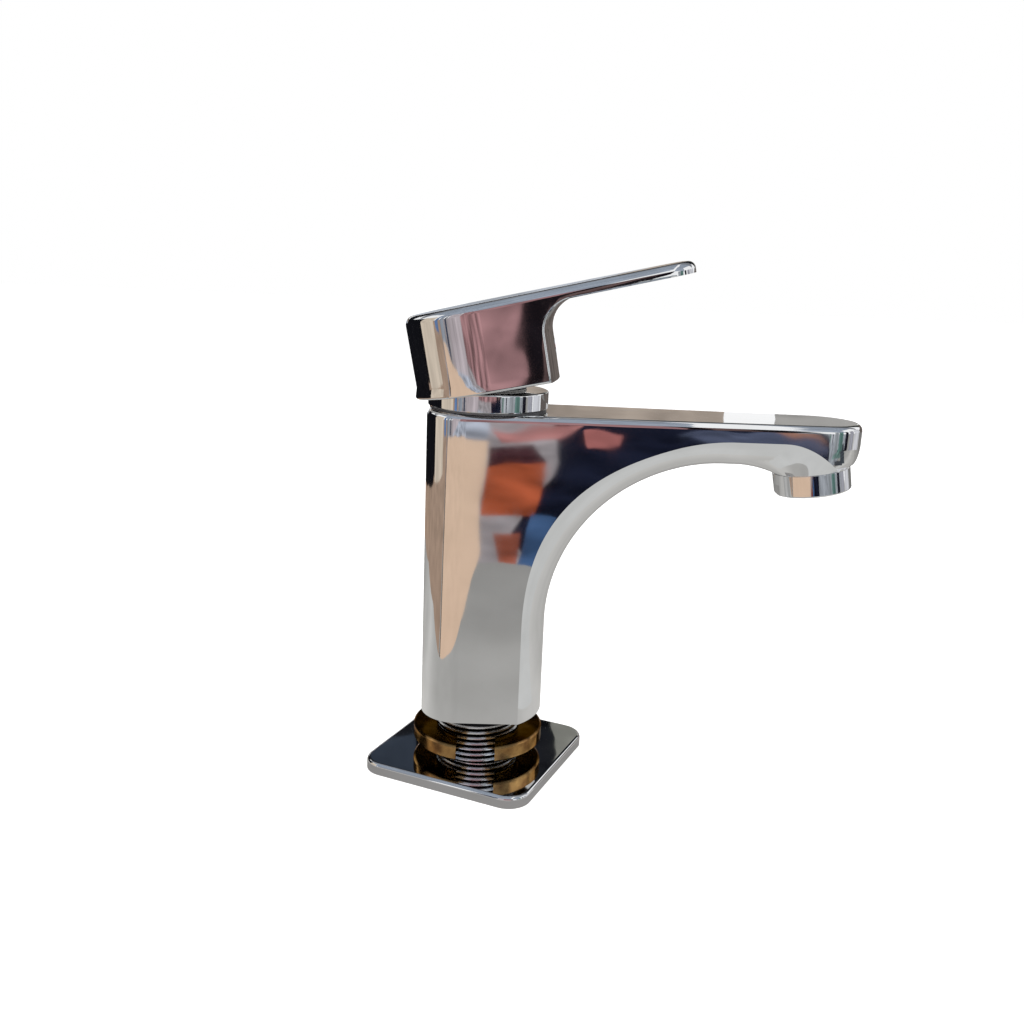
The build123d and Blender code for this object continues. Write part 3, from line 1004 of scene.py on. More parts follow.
@dataclass
class Outlet:
    """The aerator's chromed housing at the end of the spout."""

    radius: float = 14.4
    height: float = 8.6
    neck_radius: float = 11.4
    neck: float = 6.0
    bore: float = 9.6
    flats: float = 27.2
    lip: float = 0.7
    edge: float = 0.3
    rim: float = 1.4
    rim_depth: float = 1.6
    seat_depth: float = 2.2
    tool_half: float = 30.0

    def build(self, frame: Matrix) -> Piece:
        """Model the housing on the outlet's seat.

        Args:
            frame: Frame on the seat, with Z along the stream.

        Returns:
            The finished housing.
        """
        end, mouth = self.height, self.bore + self.rim
        profile = [(self.bore, -self.neck), (self.neck_radius, -self.neck), (self.neck_radius, 0.0)]
        profile += [(self.radius - self.edge, 0.0), (self.radius, self.edge)]
        profile += arc((self.radius - self.lip, end - self.lip), self.lip, 0.0, 90.0, 6)
        profile += arc((mouth + self.lip, end - self.lip), self.lip, 90.0, 180.0, 6)
        profile += [(mouth, end - self.rim_depth), (self.bore, end - self.seat_depth)]
        piece = Shape.turned("aerator_shell", profile)
        near, far = self.flats / 2, 2 * self.radius
        for first, last in ((near, far), (-far, -near)):
            low = (-self.tool_half, first, self.height / 2)
            piece.carve(Shape.block("flat", low, (self.tool_half, last, end + SPARE)))
        piece.place(frame @ Matrix.Rotation(pi / 2, 4, "Z"))
        return piece.settle()


@dataclass
class Collar:
    """The chromed collar over the cartridge nut."""

    bottom: float = 143.4
    top: float = 150.0
    radius: float = 22.6
    foot: float = 0.3
    edge: float = 0.8
    bore: float = 14.3
    hollow: float = 19.5
    roof: float = 2.0

    def build(self) -> Piece:
        """Model the collar as one turned piece.

        Returns:
            The finished collar.
        """
        roof = self.top - self.roof
        profile = [(self.hollow, self.bottom), (self.radius - self.foot, self.bottom)]
        profile += [(self.radius, self.bottom + self.foot)]
        profile += arc((self.radius - self.edge, self.top - self.edge), self.edge, 0.0, 90.0, 6)
        profile += [(self.bore, self.top), (self.bore, roof), (self.hollow, roof)]
        return Shape.turned("cartridge_cap", profile).settle()


@dataclass
class Lever:
    """The lever handle, drawn level about its pivot and then lifted."""

    pivot: float = 144.6
    lift: float = 11.0
    bottom: float = 5.8
    back: float = 25.6
    half: float = 25.0
    front: float = 24.0
    bulge: float = 4.0
    back_top: float = 35.9
    rise: float = 2.3
    reach: float = 82.0
    tip_half: float = 13.5
    tip_round: float = 11.0
    thick: float = 4.5
    fillet: float = 11.0
    crown: float = 0.1
    edge: float = 3.0
    foot: float = 1.2
    foot_height: float = 4.0
    foot_edge: float = 1.0
    rim_edge: float = 0.6
    rim_slack: float = 0.05
    wall: float = 2.5
    roof: float = 5.0
    boss_half: float = 7.5
    boss_bottom: float = 10.0
    rib_half: float = 6.0
    rib_bottom: float = 11.0
    socket_half: float = 4.05
    socket_bottom: float = 5.0
    socket_top: float = 24.0
    screw_height: float = 17.0
    screw_radius: float = 2.6
    plug_radius: float = 4.1
    plug_depth: float = 2.5
    plug_end: float = 40.0
    tool_past: float = 20.0
    tool_half: float = 32.0

    @property
    def slope(self) -> float:
        """How much the half width shrinks along the lever."""
        return (self.half - self.tip_half) / self.reach

    @property
    def stretch(self) -> float:
        """Length of the lever's side for each millimetre along it."""
        return hypot(1.0, self.slope)

    @property
    def side(self) -> float:
        """Direction of the side's normal in degrees."""
        return 90.0 - degrees(atan(self.slope))

    @property
    def climb(self) -> float:
        """How much the top climbs along the lever."""
        return tan(radians(self.rise))

    @property
    def nose(self) -> float:
        """Front of the skirt on its middle line."""
        return self.front + self.bulge

    @property
    def bow(self) -> float:
        """Radius of the skirt's bowed front."""
        half = self.half - self.slope * self.front
        return (half * half + self.bulge * self.bulge) / (2 * self.bulge)

    @property
    def fillet_centre(self) -> Point:
        """Axis of the fillet under the lever, along it and in height."""
        along = self.nose + self.fillet
        return (along, self.under(along) - self.fillet / cos(radians(self.rise)))

    def frame(self) -> Matrix:
        """Frame of the lifted lever."""
        turn = Matrix.Rotation(-radians(self.lift), 4, "Y")
        return Matrix.Translation((0.0, 0.0, self.pivot)) @ turn

    def skirt_back(self, inset: float, steps: int) -> list[Point]:
        """The skirt's round back from above, or an inset of it.

        Args:
            inset: How far inside the skirt's face.
            steps: Number of chords.

        Returns:
            The corners.
        """
        centre = (self.half - self.back * self.stretch) / (self.slope + self.stretch)
        radius = self.back + centre - inset
        return arc((centre, 0.0), radius, self.side, 360.0 - self.side, steps)

    def plan(self) -> list[Point]:
        """Outline of skirt and lever from above.

        Returns:
            The corners of the outline.
        """
        tip = self.reach - self.tip_round
        tip_y = self.half - self.slope * tip - self.tip_round * self.stretch
        outline = arc((tip, -tip_y), self.tip_round, -self.side, 0.0, 20)
        outline += arc((tip, tip_y), self.tip_round, 0.0, self.side, 20)
        return outline + self.skirt_back(0.0, 96)

    def under(self, along: float) -> float:
        """Height of the lever's underside at a place along it."""
        return self.back_top - self.thick + (along + self.back) * self.climb

    def finger_space(self) -> Shape:
        """Tool for the space under the lever, bowed where it meets the skirt.

        Returns:
            The tool.
        """
        far, low = self.reach + self.tool_past, -self.tool_past
        side = [(self.nose, low)]
        side += reversed(arc(self.fillet_centre, self.fillet, 90.0 + self.rise, 180.0, 24))
        side += [(far, self.under(far)), (far, low)]
        tool = Shape.slab("finger_space", side, -self.tool_half, self.tool_half)
        tool.pick(lambda a, b: abs(a.z - b.z) > SPARE)
        bpy.ops.mesh.subdivide(number_cuts=63)
        tool.close()
        for vertex in tool.vertices:
            vertex.co.x -= vertex.co.z * vertex.co.z / (2 * self.bow)
        return tool.place(Matrix.Rotation(pi / 2, 4, "X"))

    def on_rim(self, corner: Vector) -> bool:
        """Whether a corner lies on the side rim of the finger space.

        Args:
            corner: Place of the corner.

        Returns:
            Whether it does.
        """
        if abs(abs(corner.y) - self.half + self.slope * corner.x) > self.rim_slack:
            return False
        along = corner.x + corner.y * corner.y / (2 * self.bow)
        middle, level = self.fillet_centre
        if corner.z < level:
            off = along - self.nose
        elif along < middle - self.fillet * sin(radians(self.rise)):
            off = hypot(along - middle, corner.z - level) - self.fillet
        else:
            off = corner.z - self.under(along)
        return abs(off) < self.rim_slack

    def cavity(self) -> Shape:
        """Tool for the hollow of the skirt.

        Returns:
            The tool.
        """
        outline = self.skirt_back(self.wall, 72)
        half = self.half - self.slope * self.front - self.wall
        steps = 12
        for step in range(2 * steps + 1):
            across = half * (step / steps - 1)
            outline.append((self.nose - self.wall - across * across / (2 * self.bow), across))
        return Shape.slab("cavity", outline, self.bottom - 3 * SPARE, self.back_top - self.roof)

    def form(self, piece: Shape) -> None:
        """Flare the foot at the back, and raise and crown the top along the lever.

        Args:
            piece: The handle.
        """
        stations = 30
        for step in range(1, stations):
            along = -self.back + (self.reach + self.back) * step / stations
            piece.score((along, 0.0, 0.0), (1.0, 0.0, 0.0))
        piece.score((0.0, 0.0, self.bottom + self.foot_height), (0.0, 0.0, 1.0))
        for vertex in piece.vertices:
            flare = 1 - (vertex.co.z - self.bottom) / self.foot_height
            if flare > 0:
                vertex.co.x -= self.foot * flare * max(0.0, -vertex.co.x / self.back)
            if vertex.co.z > self.back_top / 2:
                share = (vertex.co.x + self.back) / (self.reach + self.back)
                crown = 4 * self.crown * share * (1 - share)
                vertex.co.z += (vertex.co.x + self.back) * self.climb + crown

    def fit_stem(self, piece: Shape) -> None:
        """Add the boss and rib for the stem, and open its socket, the screw's hole and the seat.

        Args:
            piece: The handle.
        """
        upright = Matrix.Rotation(radians(self.lift), 4, "Y")
        roof = self.back_top - self.roof / 2
        half = self.boss_half
        boss = Shape.block("boss", (-half, -half, self.boss_bottom), (half, half, roof))
        piece.carve(boss.place(upright), Cut.TOGETHER)
        high = (self.nose - self.wall / 2, self.rib_half, roof - SPARE)
        rib = Shape.block("rib", (0.0, -self.rib_half, self.rib_bottom), high)
        piece.carve(rib, Cut.TOGETHER)
        half = self.socket_half
        low, high = (-half, -half, self.socket_bottom), (half, half, self.socket_top)
        piece.carve(Shape.block("socket", low, high).place(upright))
        turn = Matrix.Rotation(pi / 2, 4, "Y")
        forward = Matrix.Translation((0.0, 0.0, self.screw_height)) @ turn
        screw = Shape.rod("screw", self.screw_radius, 0.0, self.nose - SPARE, 48)
        piece.carve(screw.place(forward))
        seat = Shape.rod("seat", self.plug_radius, self.nose - self.plug_depth, self.plug_end, 64)
        piece.carve(seat.place(forward))

    def build(self) -> Piece:
        """Model the handle with its hollow skirt, the boss for the stem and the plug's seat.

        Returns:
            The finished handle.
        """
        piece = Shape.slab("lever_handle", self.plan(), self.bottom, self.back_top)
        piece.round(lambda a, b: min(a.z, b.z) > self.back_top - TOUCH, self.edge, 6)
        piece.round(lambda a, b: max(a.z, b.z) < self.bottom + TOUCH, self.foot_edge, 4)
        self.form(piece)
        piece.carve(self.finger_space())
        piece.carve(self.cavity())
        self.fit_stem(piece)
        piece.round(lambda a, b: self.on_rim(a) and self.on_rim(b), self.rim_edge, 3)
        piece.place(self.frame())
        return piece.settle()


@dataclass
class Shank:
    """The hollow chromed shank with its pipe thread."""

    radius: float = 16.625
    bore: float = 13.5
    pitch: float = 2.309
    depth: float = 1.479
    land: float = 0.23
    bottom: float = 0.0
    shoulder: float = 23.1
    shoulder_gap: float = 0.05
    spigot_radius: float = 15.88
    spigot: float = 12.0
    neck: float = 3.6
    lead: float = 0.8
    inner_edge: float = 0.4
    sharp: float = 20.0

    def groove(self) -> Shape:
        """Tool for the thread: one helical groove along the whole exposed length.

        Returns:
            The tool.
        """
        flank = (self.pitch - 2 * self.land) / 2 / self.depth
        wide = self.pitch / 2 - self.land + flank * LAP
        root, crest = self.radius - self.depth, self.radius + LAP
        corners = [(root, -self.land / 2), (crest, -wide), (crest, wide), (root, self.land / 2)]
        start = self.bottom - self.pitch
        tool = Shape("groove", [(r, 0.0, start + z) for r, z in corners], False)
        modifier = tool.piece.modifiers.new("helix", "SCREW")
        modifier.axis = "Z"
        modifier.screw_offset = self.pitch
        modifier.iterations = int((self.shoulder - self.bottom) / self.pitch) + 3
        modifier.steps = modifier.render_steps = 72
        modifier.use_merge_vertices = False
        tool.apply(modifier)
        tool.edit()
        return tool.cap()

    def build(self) -> Piece:
        """Model the shank with its spigot in the body.

        Returns:
            The finished shank.
        """
        shoulder, end = self.shoulder - self.shoulder_gap, self.shoulder + self.spigot
        profile = [(self.bore, self.bottom + self.inner_edge)]
        profile += [(self.bore + self.inner_edge, self.bottom)]
        profile += [(self.radius - self.lead, self.bottom), (self.radius, self.bottom + self.lead)]
        profile += [(self.radius, shoulder), (self.spigot_radius, shoulder)]
        profile += [(self.spigot_radius, end), (self.bore, end)]
        piece = Shape.turned("threaded_shank", profile)
        groove = self.groove()
        low, high = self.bottom - 2 * self.pitch, self.shoulder - self.neck
        groove.carve(Shape.rod("keep", 2 * self.radius, low, high), Cut.COMMON)
        piece.carve(groove)
        return piece.settle(self.sharp)


@dataclass
class LockRing:
    """The slotted brass ring on the shank."""

    bottom: float = 9.0
    thick: float = 6.2
    outer: float = 25.8
    bore: float = 16.73
    slot: float = 15.0
    chamfer: float = 0.8

    def build(self) -> Piece:
        """Model the ring and open its slot on the near side.

        Returns:
            The finished ring.
        """
        top, inner = self.bottom + self.thick, self.outer - self.chamfer
        profile = [(self.bore, self.bottom), (inner, self.bottom)]
        profile += [(self.outer, self.bottom + self.chamfer), (self.outer, top - self.chamfer)]
        profile += [(inner, top), (self.bore, top)]
        piece = Shape.turned("slotted_ring", profile)
        low = (-self.slot / 2, -2 * self.outer, self.bottom - SPARE)
        piece.carve(Shape.block("slot", low, (self.slot / 2, 0.0, top + SPARE)))
        return piece.settle()


@dataclass
class CoverPlate:
    """The loose square cover plate."""

    side: float = 69.5
    corner: float = 9.0
    thick: float = 4.5
    edge: float = 1.4
    turn: float = -24.0
    bore: float = 17.075
    gasket_inner: float = 20.075
    gasket_outer: float = 24.075
    gasket_thick: float = 1.5

    def build(self) -> Piece:
        """Model the plate with its soft edges, bore and gasket groove.

        Returns:
            The finished plate.
        """
        reach = self.side / 2 - self.corner
        outline = rounded((-reach, -reach), (reach, reach), self.corner, 16)
        piece = Shape.slab("cover_square", outline, 0.0, self.thick)
        piece.round(lambda a, b: min(a.z, b.z) > self.thick - TOUCH, self.edge, 6)
        piece.carve(Shape.rod("bore", self.bore, -SPARE, self.thick + SPARE, 128))
        profile = [(self.gasket_inner, -SPARE), (self.gasket_outer, -SPARE)]
        profile += [(self.gasket_outer, self.gasket_thick), (self.gasket_inner, self.gasket_thick)]
        piece.carve(Shape.turned("groove", profile, 96))
        piece.place(Matrix.Rotation(radians(self.turn), 4, "Z"))
        return piece.settle()


class Finish(Enum):
    """Finishes of the mixer's pieces."""

    BRASS = TurnedBrass()
    STEEL = TurnedSteel()
    RUBBER = Moulding("black_rubber", 0.6, 0.8, (0.03, 0.03, 0.03, 1), (0.05, 0.05, 0.05, 1), 0.5)
    PALE = Moulding("pale_plastic", 0.35, 0.5, (0.80, 0.80, 0.77, 1), (0.72, 0.72, 0.70, 1), 0.3)
    WHITE = Moulding("white_plastic", 0.3, 0.45, (0.84, 0.85, 0.86, 1), (0.76, 0.77, 0.78, 1), 0.3)
    DARK = Moulding("dark_plastic", 0.35, 0.55, (0.05, 0.05, 0.055, 1), (0.08, 0.08, 0.085, 1), 0.3)
    CERAMIC = Moulding(
        "lapped_ceramic", 0.08, 0.16, (0.90, 0.89, 0.85, 1), (0.84, 0.83, 0.79, 1), 0.1
    )
    CHROME = ChromePlate()
    THREAD = ThreadChrome()
    # The ring's bottom and top faces, at 9.0 and 15.2, get painted shade.
    RING = TurnedBrass(
        "ring_brass", smooth=0.12, rough=0.24, low=9.0, high=15.2, grazing=(0.62, 0.50, 0.42, 1.0)
    )


CARRIED: dict[Finish, tuple[str, ...]] = {
    Finish.RUBBER: ("plate_gasket", "port_seals", "disc_seals", "aerator_washer"),
    Finish.WHITE: ("aerator_insert",),
    Finish.STEEL: ("aerator_screen", "stem_pin", "stem", "set_screw"),
    Finish.PALE: ("cartridge_housing", "cartridge_base"),
    Finish.CERAMIC: ("fixed_disc", "moving_disc"),
    Finish.DARK: ("disc_carrier", "stem_guide", "slip_ring"),
    Finish.BRASS: ("cartridge_nut",),
    Finish.CHROME: ("index_plug",),
}


@dataclass(frozen=True)
class Card:
    """A flat card outside the picture, which only the polished metal shows."""

    name: str
    colour: Tone
    mottle: float
    corners: tuple[Corner, ...]
    shades: tuple[Point, ...] = ()

    @classmethod
    def mat(
        cls, name: str, colour: Tone, mottle: float, height: float, *outline: Point,
        shades: tuple[Point, ...] = (),
    ) -> Self:
        """A level card, with shades as places along Y and shares of its brightness there."""
        return cls(name, colour, mottle, tuple((x, y, height) for x, y in outline), shades)

    @classmethod
    def row(cls, low: float, high: float, *panels: Panel) -> list[Self]:
        """Upright cards.

        Args:
            low: Height of their lower edges.
            high: Height of their upper edges.
            panels: Name, colour, mottle and the two ends on the floor of each.

        Returns:
            The cards.
        """
        cards = []
        for name, colour, mottle, left, right in panels:
            corners = ((*left, low), (*right, low), (*right, high), (*left, high))
            cards.append(cls(name, colour, mottle, corners))
        return cards

    def build(self) -> None:
        """Set the card up, with a soft mottle in its colour."""
        card = Shape(self.name, self.corners, True).piece
        material = bpy.data.materials.new(self.name)
        nodes = Nodes(material, "Emission")
        dark, light = (
            (*(part * (1 + self.mottle * side) for part in self.colour), 1.0) for side in (-1, 1)
        )
        nodes.surface({"Color": nodes.blend(nodes.noise(scale=14.0), dark, light)})
        if self.shades:
            near, far = self.shades[0][0], self.shades[-1][0]
            stops = [
                ((where - near) / (far - near), (share, share, share, 1.0))
                for where, share in self.shades
            ]
            fade = nodes.tones(nodes.span(nodes.axes["Y"], near, far), stops)
            fade.color_ramp.interpolation = "EASE"
            nodes.surface({"Strength": fade.outputs["Color"]})
        card.data.materials.append(material)
        card.visible_camera = False
        card.visible_diffuse = False
        card.visible_shadow = False
        card.visible_transmission = False


CARDS: tuple[Card, ...] = (
    Card.mat(
        "grey_floor", (0.45, 0.44, 0.42), 0.06, -0.0001,
        (-2.0, -0.32), (2.0, -0.32), (2.0, 2.0), (-2.0, 2.0),
        shades=(
            (-0.32, 0.68), (-0.22, 0.74), (-0.14, 0.92), (-0.06, 0.98),
            (0.02, 1.32), (0.10, 1.08), (0.25, 0.78), (0.55, 0.46),
        ),
    ),
    Card.mat(
        "bright_floor", (0.60, 0.60, 0.585), 0.05, 0.0005,
        (0.08, -0.30), (0.40, -0.25), (0.40, 0.02), (0.08, 0.02),
    ),
    Card.mat(
        "far_floor", (0.34, 0.31, 0.32), 0.4, -0.0001,
        (-3.0, -4.0), (3.0, -4.0), (3.0, -0.32), (-3.0, -0.32),
    ),
    Card.mat(
        "black_mat", (0.006, 0.006, 0.008), 0.3, 0.001,
        (-0.03, 0.55), (-0.25, 0.48), (-0.42, 0.33), (-0.54, 0.10), (-2.0, 0.2), (-2.0, 3.0),
        (-0.03, 3.0),
    ),
    Card.mat(
        "navy_mat", (0.008, 0.010, 0.022), 0.6, 0.001,
        (0.034, -0.40), (0.048, -0.30), (0.30, -0.26), (3.0, -0.5), (3.0, -3.5), (0.3, -3.5),
        (0.12, -0.87), (0.10, -0.68),
    ),
    Card.mat(
        "tan_mat", (0.72, 0.52, 0.38), 0.04, 0.002,
        (-0.112, -0.081), (-0.086, -0.118), (-0.048, -0.155), (-0.004, -0.202),
        (0.002, -0.255), (0.010, -0.346), (0.0175, -0.59), (0.0255, -0.85), (-0.16, -0.83),
        (-0.43, -0.725), (-0.66, -0.52), (-0.47, -0.34), (-0.30, -0.206), (-0.118, -0.077),
    ),
    Card.mat(
        "pale_far", (0.40, 0.43, 0.50), 0.5, 0.003,
        (0.0255, -0.85), (0.035, -1.0), (-0.30, -1.0), (-0.53, -0.64), (-0.68, -0.53),
        (-0.66, -0.52), (-0.43, -0.725), (-0.16, -0.83),
    ),
    Card.mat(
        "tan_edge", (0.10, 0.07, 0.05), 0.3, 0.002,
        (-0.118, -0.077), (-0.30, -0.206), (-0.47, -0.34), (-0.70, -0.55), (-0.71, -0.54),
        (-0.48, -0.328), (-0.305, -0.196), (-0.120, -0.072),
    ),
    Card.mat(
        "tan_side", (0.38, 0.27, 0.20), 0.15, 0.002,
        (-0.124, -0.068), (-0.31, -0.19), (-0.485, -0.322), (-0.74, -0.53), (-2.0, -1.16),
        (-2.0, 0.2), (-0.54, 0.10), (-0.42, 0.33), (-0.25, 0.48), (-0.03, 0.55),
        (-0.03, 0.36), (-0.10, 0.34), (-0.20, 0.28), (-0.27, 0.12), (-0.215, -0.014),
        (-0.16, -0.05),
    ),
    Card.mat(
        "shade_mat", (0.30, 0.29, 0.28), 0.1, -0.00005,
        (0.022, -0.057), (0.057, 0.022), (-0.022, 0.057), (-0.057, -0.022),
    ),
    Card.mat(
        "pale_right", (0.34, 0.36, 0.39), 0.4, 0.0015,
        (0.17, -0.27), (3.0, -0.4), (3.0, -3.5), (1.0, -3.5), (0.47, -0.90), (0.46, -0.70),
        (0.36, -0.69), (0.27, -0.66), (0.19, -0.55),
    ),
    Card.mat(
        "green_right", (0.13, 0.21, 0.19), 0.6, 0.002,
        (0.53, -0.60), (0.56, -0.42), (0.545, -0.235), (0.667, -0.395), (0.80, -0.56),
        (0.75, -0.60),
    ),
    Card.mat(
        "dark_right", (0.05, 0.06, 0.07), 0.5, 0.003,
        (0.84, -0.60), (0.667, -0.395), (0.545, -0.235), (0.43, -0.075), (0.38, 0.02),
        (0.512, -0.104), (0.672, -0.24), (0.95, -0.44),
    ),
    Card.mat(
        "dark_low", (0.06, 0.065, 0.075), 0.5, 0.002,
        (0.545, -0.42), (0.51, -0.22), (0.465, -0.09), (0.36, 0.02), (0.41, -0.07),
        (0.48, -0.25),
    ),
    Card.mat(
        "blue_mat", (0.05, 0.10, 0.21), 0.5, 0.002,
        (0.034, -0.306), (0.046, -0.304), (0.075, -0.44), (0.056, -0.46),
    ),
    Card.mat(
        "orange_mat", (0.38, 0.085, 0.036), 0.5, 0.002,
        (0.015, -0.46), (0.058, -0.453), (0.088, -0.66), (0.021, -0.65),
    ),
    Card.mat(
        "maroon_mat", (0.060, 0.022, 0.028), 0.5, 0.003,
        (0.021, -0.64), (0.088, -0.655), (0.086, -0.80), (0.026, -0.79),
    ),
    Card.mat(
        "rust_mat", (0.36, 0.10, 0.06), 0.5, 0.002,
        (0.020, -0.314), (0.033, -0.308), (0.042, -0.40), (0.021, -0.40),
    ),
    Card.mat(
        "pink_mat", (0.46, 0.20, 0.19), 0.3, 0.002,
        (0.047, -0.832), (0.119, -0.845), (0.17, -0.975), (0.035, -0.95),
    ),
    Card.mat(
        "rose_mat", (0.42, 0.15, 0.14), 0.3, 0.002,
        (0.144, -0.78), (0.187, -0.815), (0.21, -0.915), (0.151, -0.89),
    ),
    Card.mat(
        "steel_mat", (0.085, 0.10, 0.16), 0.4, 0.002,
        (0.27, -0.925), (0.43, -0.945), (0.43, -0.80), (0.29, -0.78),
    ),
    Card.mat(
        "smear_mat", (0.34, 0.17, 0.12), 0.4, 0.003,
        (0.405, -0.95), (0.445, -0.96), (0.445, -0.85), (0.41, -0.85),
    ),
    *Card.row(
        0.0, 0.10,
        ("low_back", (0.45, 0.47, 0.50), 0.3, (0.45, -0.97), (0.72, -0.82)),
        ("low_grey", (0.20, 0.22, 0.25), 0.3, (0.458, -0.95), (0.475, -0.94)),
        ("low_green", (0.05, 0.16, 0.11), 0.4, (0.49, -0.93), (0.52, -0.915)),
        ("low_dark", (0.03, 0.03, 0.04), 0.4, (0.59, -0.87), (0.62, -0.85)),
    ),
    *Card.row(
        0.03, 0.7,
        ("brown_wall", (0.34, 0.185, 0.19), 0.6, (-0.30, -1.0), (0.30, -1.02)),
        ("black_wall", (0.008, 0.006, 0.008), 0.5, (0.30, -1.02), (0.345, -1.02)),
        ("umber_wall", (0.11, 0.07, 0.068), 0.6, (0.345, -1.02), (0.42, -1.01)),
        ("black_far", (0.012, 0.010, 0.012), 0.5, (0.42, -1.01), (0.487, -1.0)),
    ),
    *Card.row(
        0.0, 0.6,
        ("stripe_blue", (0.10, 0.17, 0.32), 0.5, (-0.75, -0.37), (-0.71, -0.44)),
        ("stripe_grey", (0.30, 0.33, 0.38), 0.5, (-0.68, -0.48), (-0.62, -0.56)),
        ("stripe_dark", (0.05, 0.06, 0.09), 0.5, (-0.59, -0.59), (-0.56, -0.62)),
        ("lilac_wall", (0.48, 0.42, 0.44), 0.3, (-0.53, -0.64), (-0.30, -1.0)),
    ),
    *Card.row(
        0.0, 0.42,
        ("cream_wall", (0.66, 0.56, 0.45), 0.15, (-0.56, 0.06), (-0.55, -0.24)),
    ),
    *Card.row(
        0.0, 0.4,
        ("black_side", (0.006, 0.006, 0.008), 0.3, (-0.58, 0.06), (-0.58, 2.0)),
        ("right_grey", (0.30, 0.32, 0.34), 0.5, (0.55, -0.62), (0.63, -0.52)),
        ("right_green", (0.11, 0.20, 0.18), 0.5, (0.64, -0.50), (0.71, -0.38)),
        ("right_black", (0.010, 0.010, 0.016), 0.5, (0.74, -0.30), (0.77, -0.20)),
        ("right_pale", (0.36, 0.36, 0.40), 0.3, (0.78, -0.14), (0.78, 0.02)),
        ("right_white", (0.66, 0.66, 0.69), 0.2, (0.78, 0.06), (0.74, 0.34)),
    ),
    *Card.row(0.16, 0.25, ("pale_back", (0.42, 0.45, 0.50), 0.4, (-0.9, 0.91), (0.28, 0.91))),
    *Card.row(0.235, 0.30, ("tan_back", (0.38, 0.32, 0.27), 0.3, (-0.9, 0.9), (0.28, 0.9))),
    *Card.row(0.17, 0.30, ("tan_far", (0.37, 0.36, 0.345), 0.2, (0.345, 0.9), (0.50, 0.9))),
    Card(
        "olive_low", (0.13, 0.11, 0.10), 0.3,
        (
            (0.08, 0.88, 0.0), (1.6, 0.88, 0.0), (1.6, 0.88, 0.42), (0.55, 0.88, 0.42),
            (0.55, 0.88, 0.215), (0.08, 0.88, 0.215),
        ),
    ),
    *Card.row(0.30, 0.46, ("olive_back", (0.26, 0.26, 0.23), 0.4, (0.08, 0.85), (0.6, 0.85))),
    *Card.row(
        0.42, 0.48,
        ("grey_patch", (0.036, 0.046, 0.064), 0.3, (-0.16, 0.84), (-0.10, 0.84)),
    ),
    *Card.row(0.36, 1.1, ("dark_back", (0.012, 0.013, 0.016), 0.8, (-0.9, 0.9), (0.9, 0.9))),
    *Card.row(1.1, 2.4, ("back_high", (0.22, 0.23, 0.25), 0.4, (-2.6, 0.92), (2.6, 0.92))),
    Card(
        "high_left", (0.34, 0.38, 0.45), 0.5,
        ((-2.6, -1.2, 0.75), (0.37, -1.2, 0.75), (0.61, -1.2, 2.4), (-2.6, -1.2, 2.4)),
    ),
    Card(
        "high_right", (0.34, 0.38, 0.45), 0.5,
        ((0.56, -1.2, 0.75), (2.6, -1.2, 0.75), (2.6, -1.2, 2.4), (0.94, -1.2, 2.4)),
    ),
    Card.mat(
        "ceiling_left", (0.30, 0.34, 0.40), 0.5, 2.4,
        (-2.6, -1.2), (0.61, -1.2), (0.45, 1.2), (-2.6, 1.2),
    ),
    Card.mat(
        "ceiling_right", (0.30, 0.34, 0.40), 0.5, 2.4,
        (0.94, -1.2), (2.6, -1.2), (2.6, 1.2), (0.70, 1.2),
    ),
)


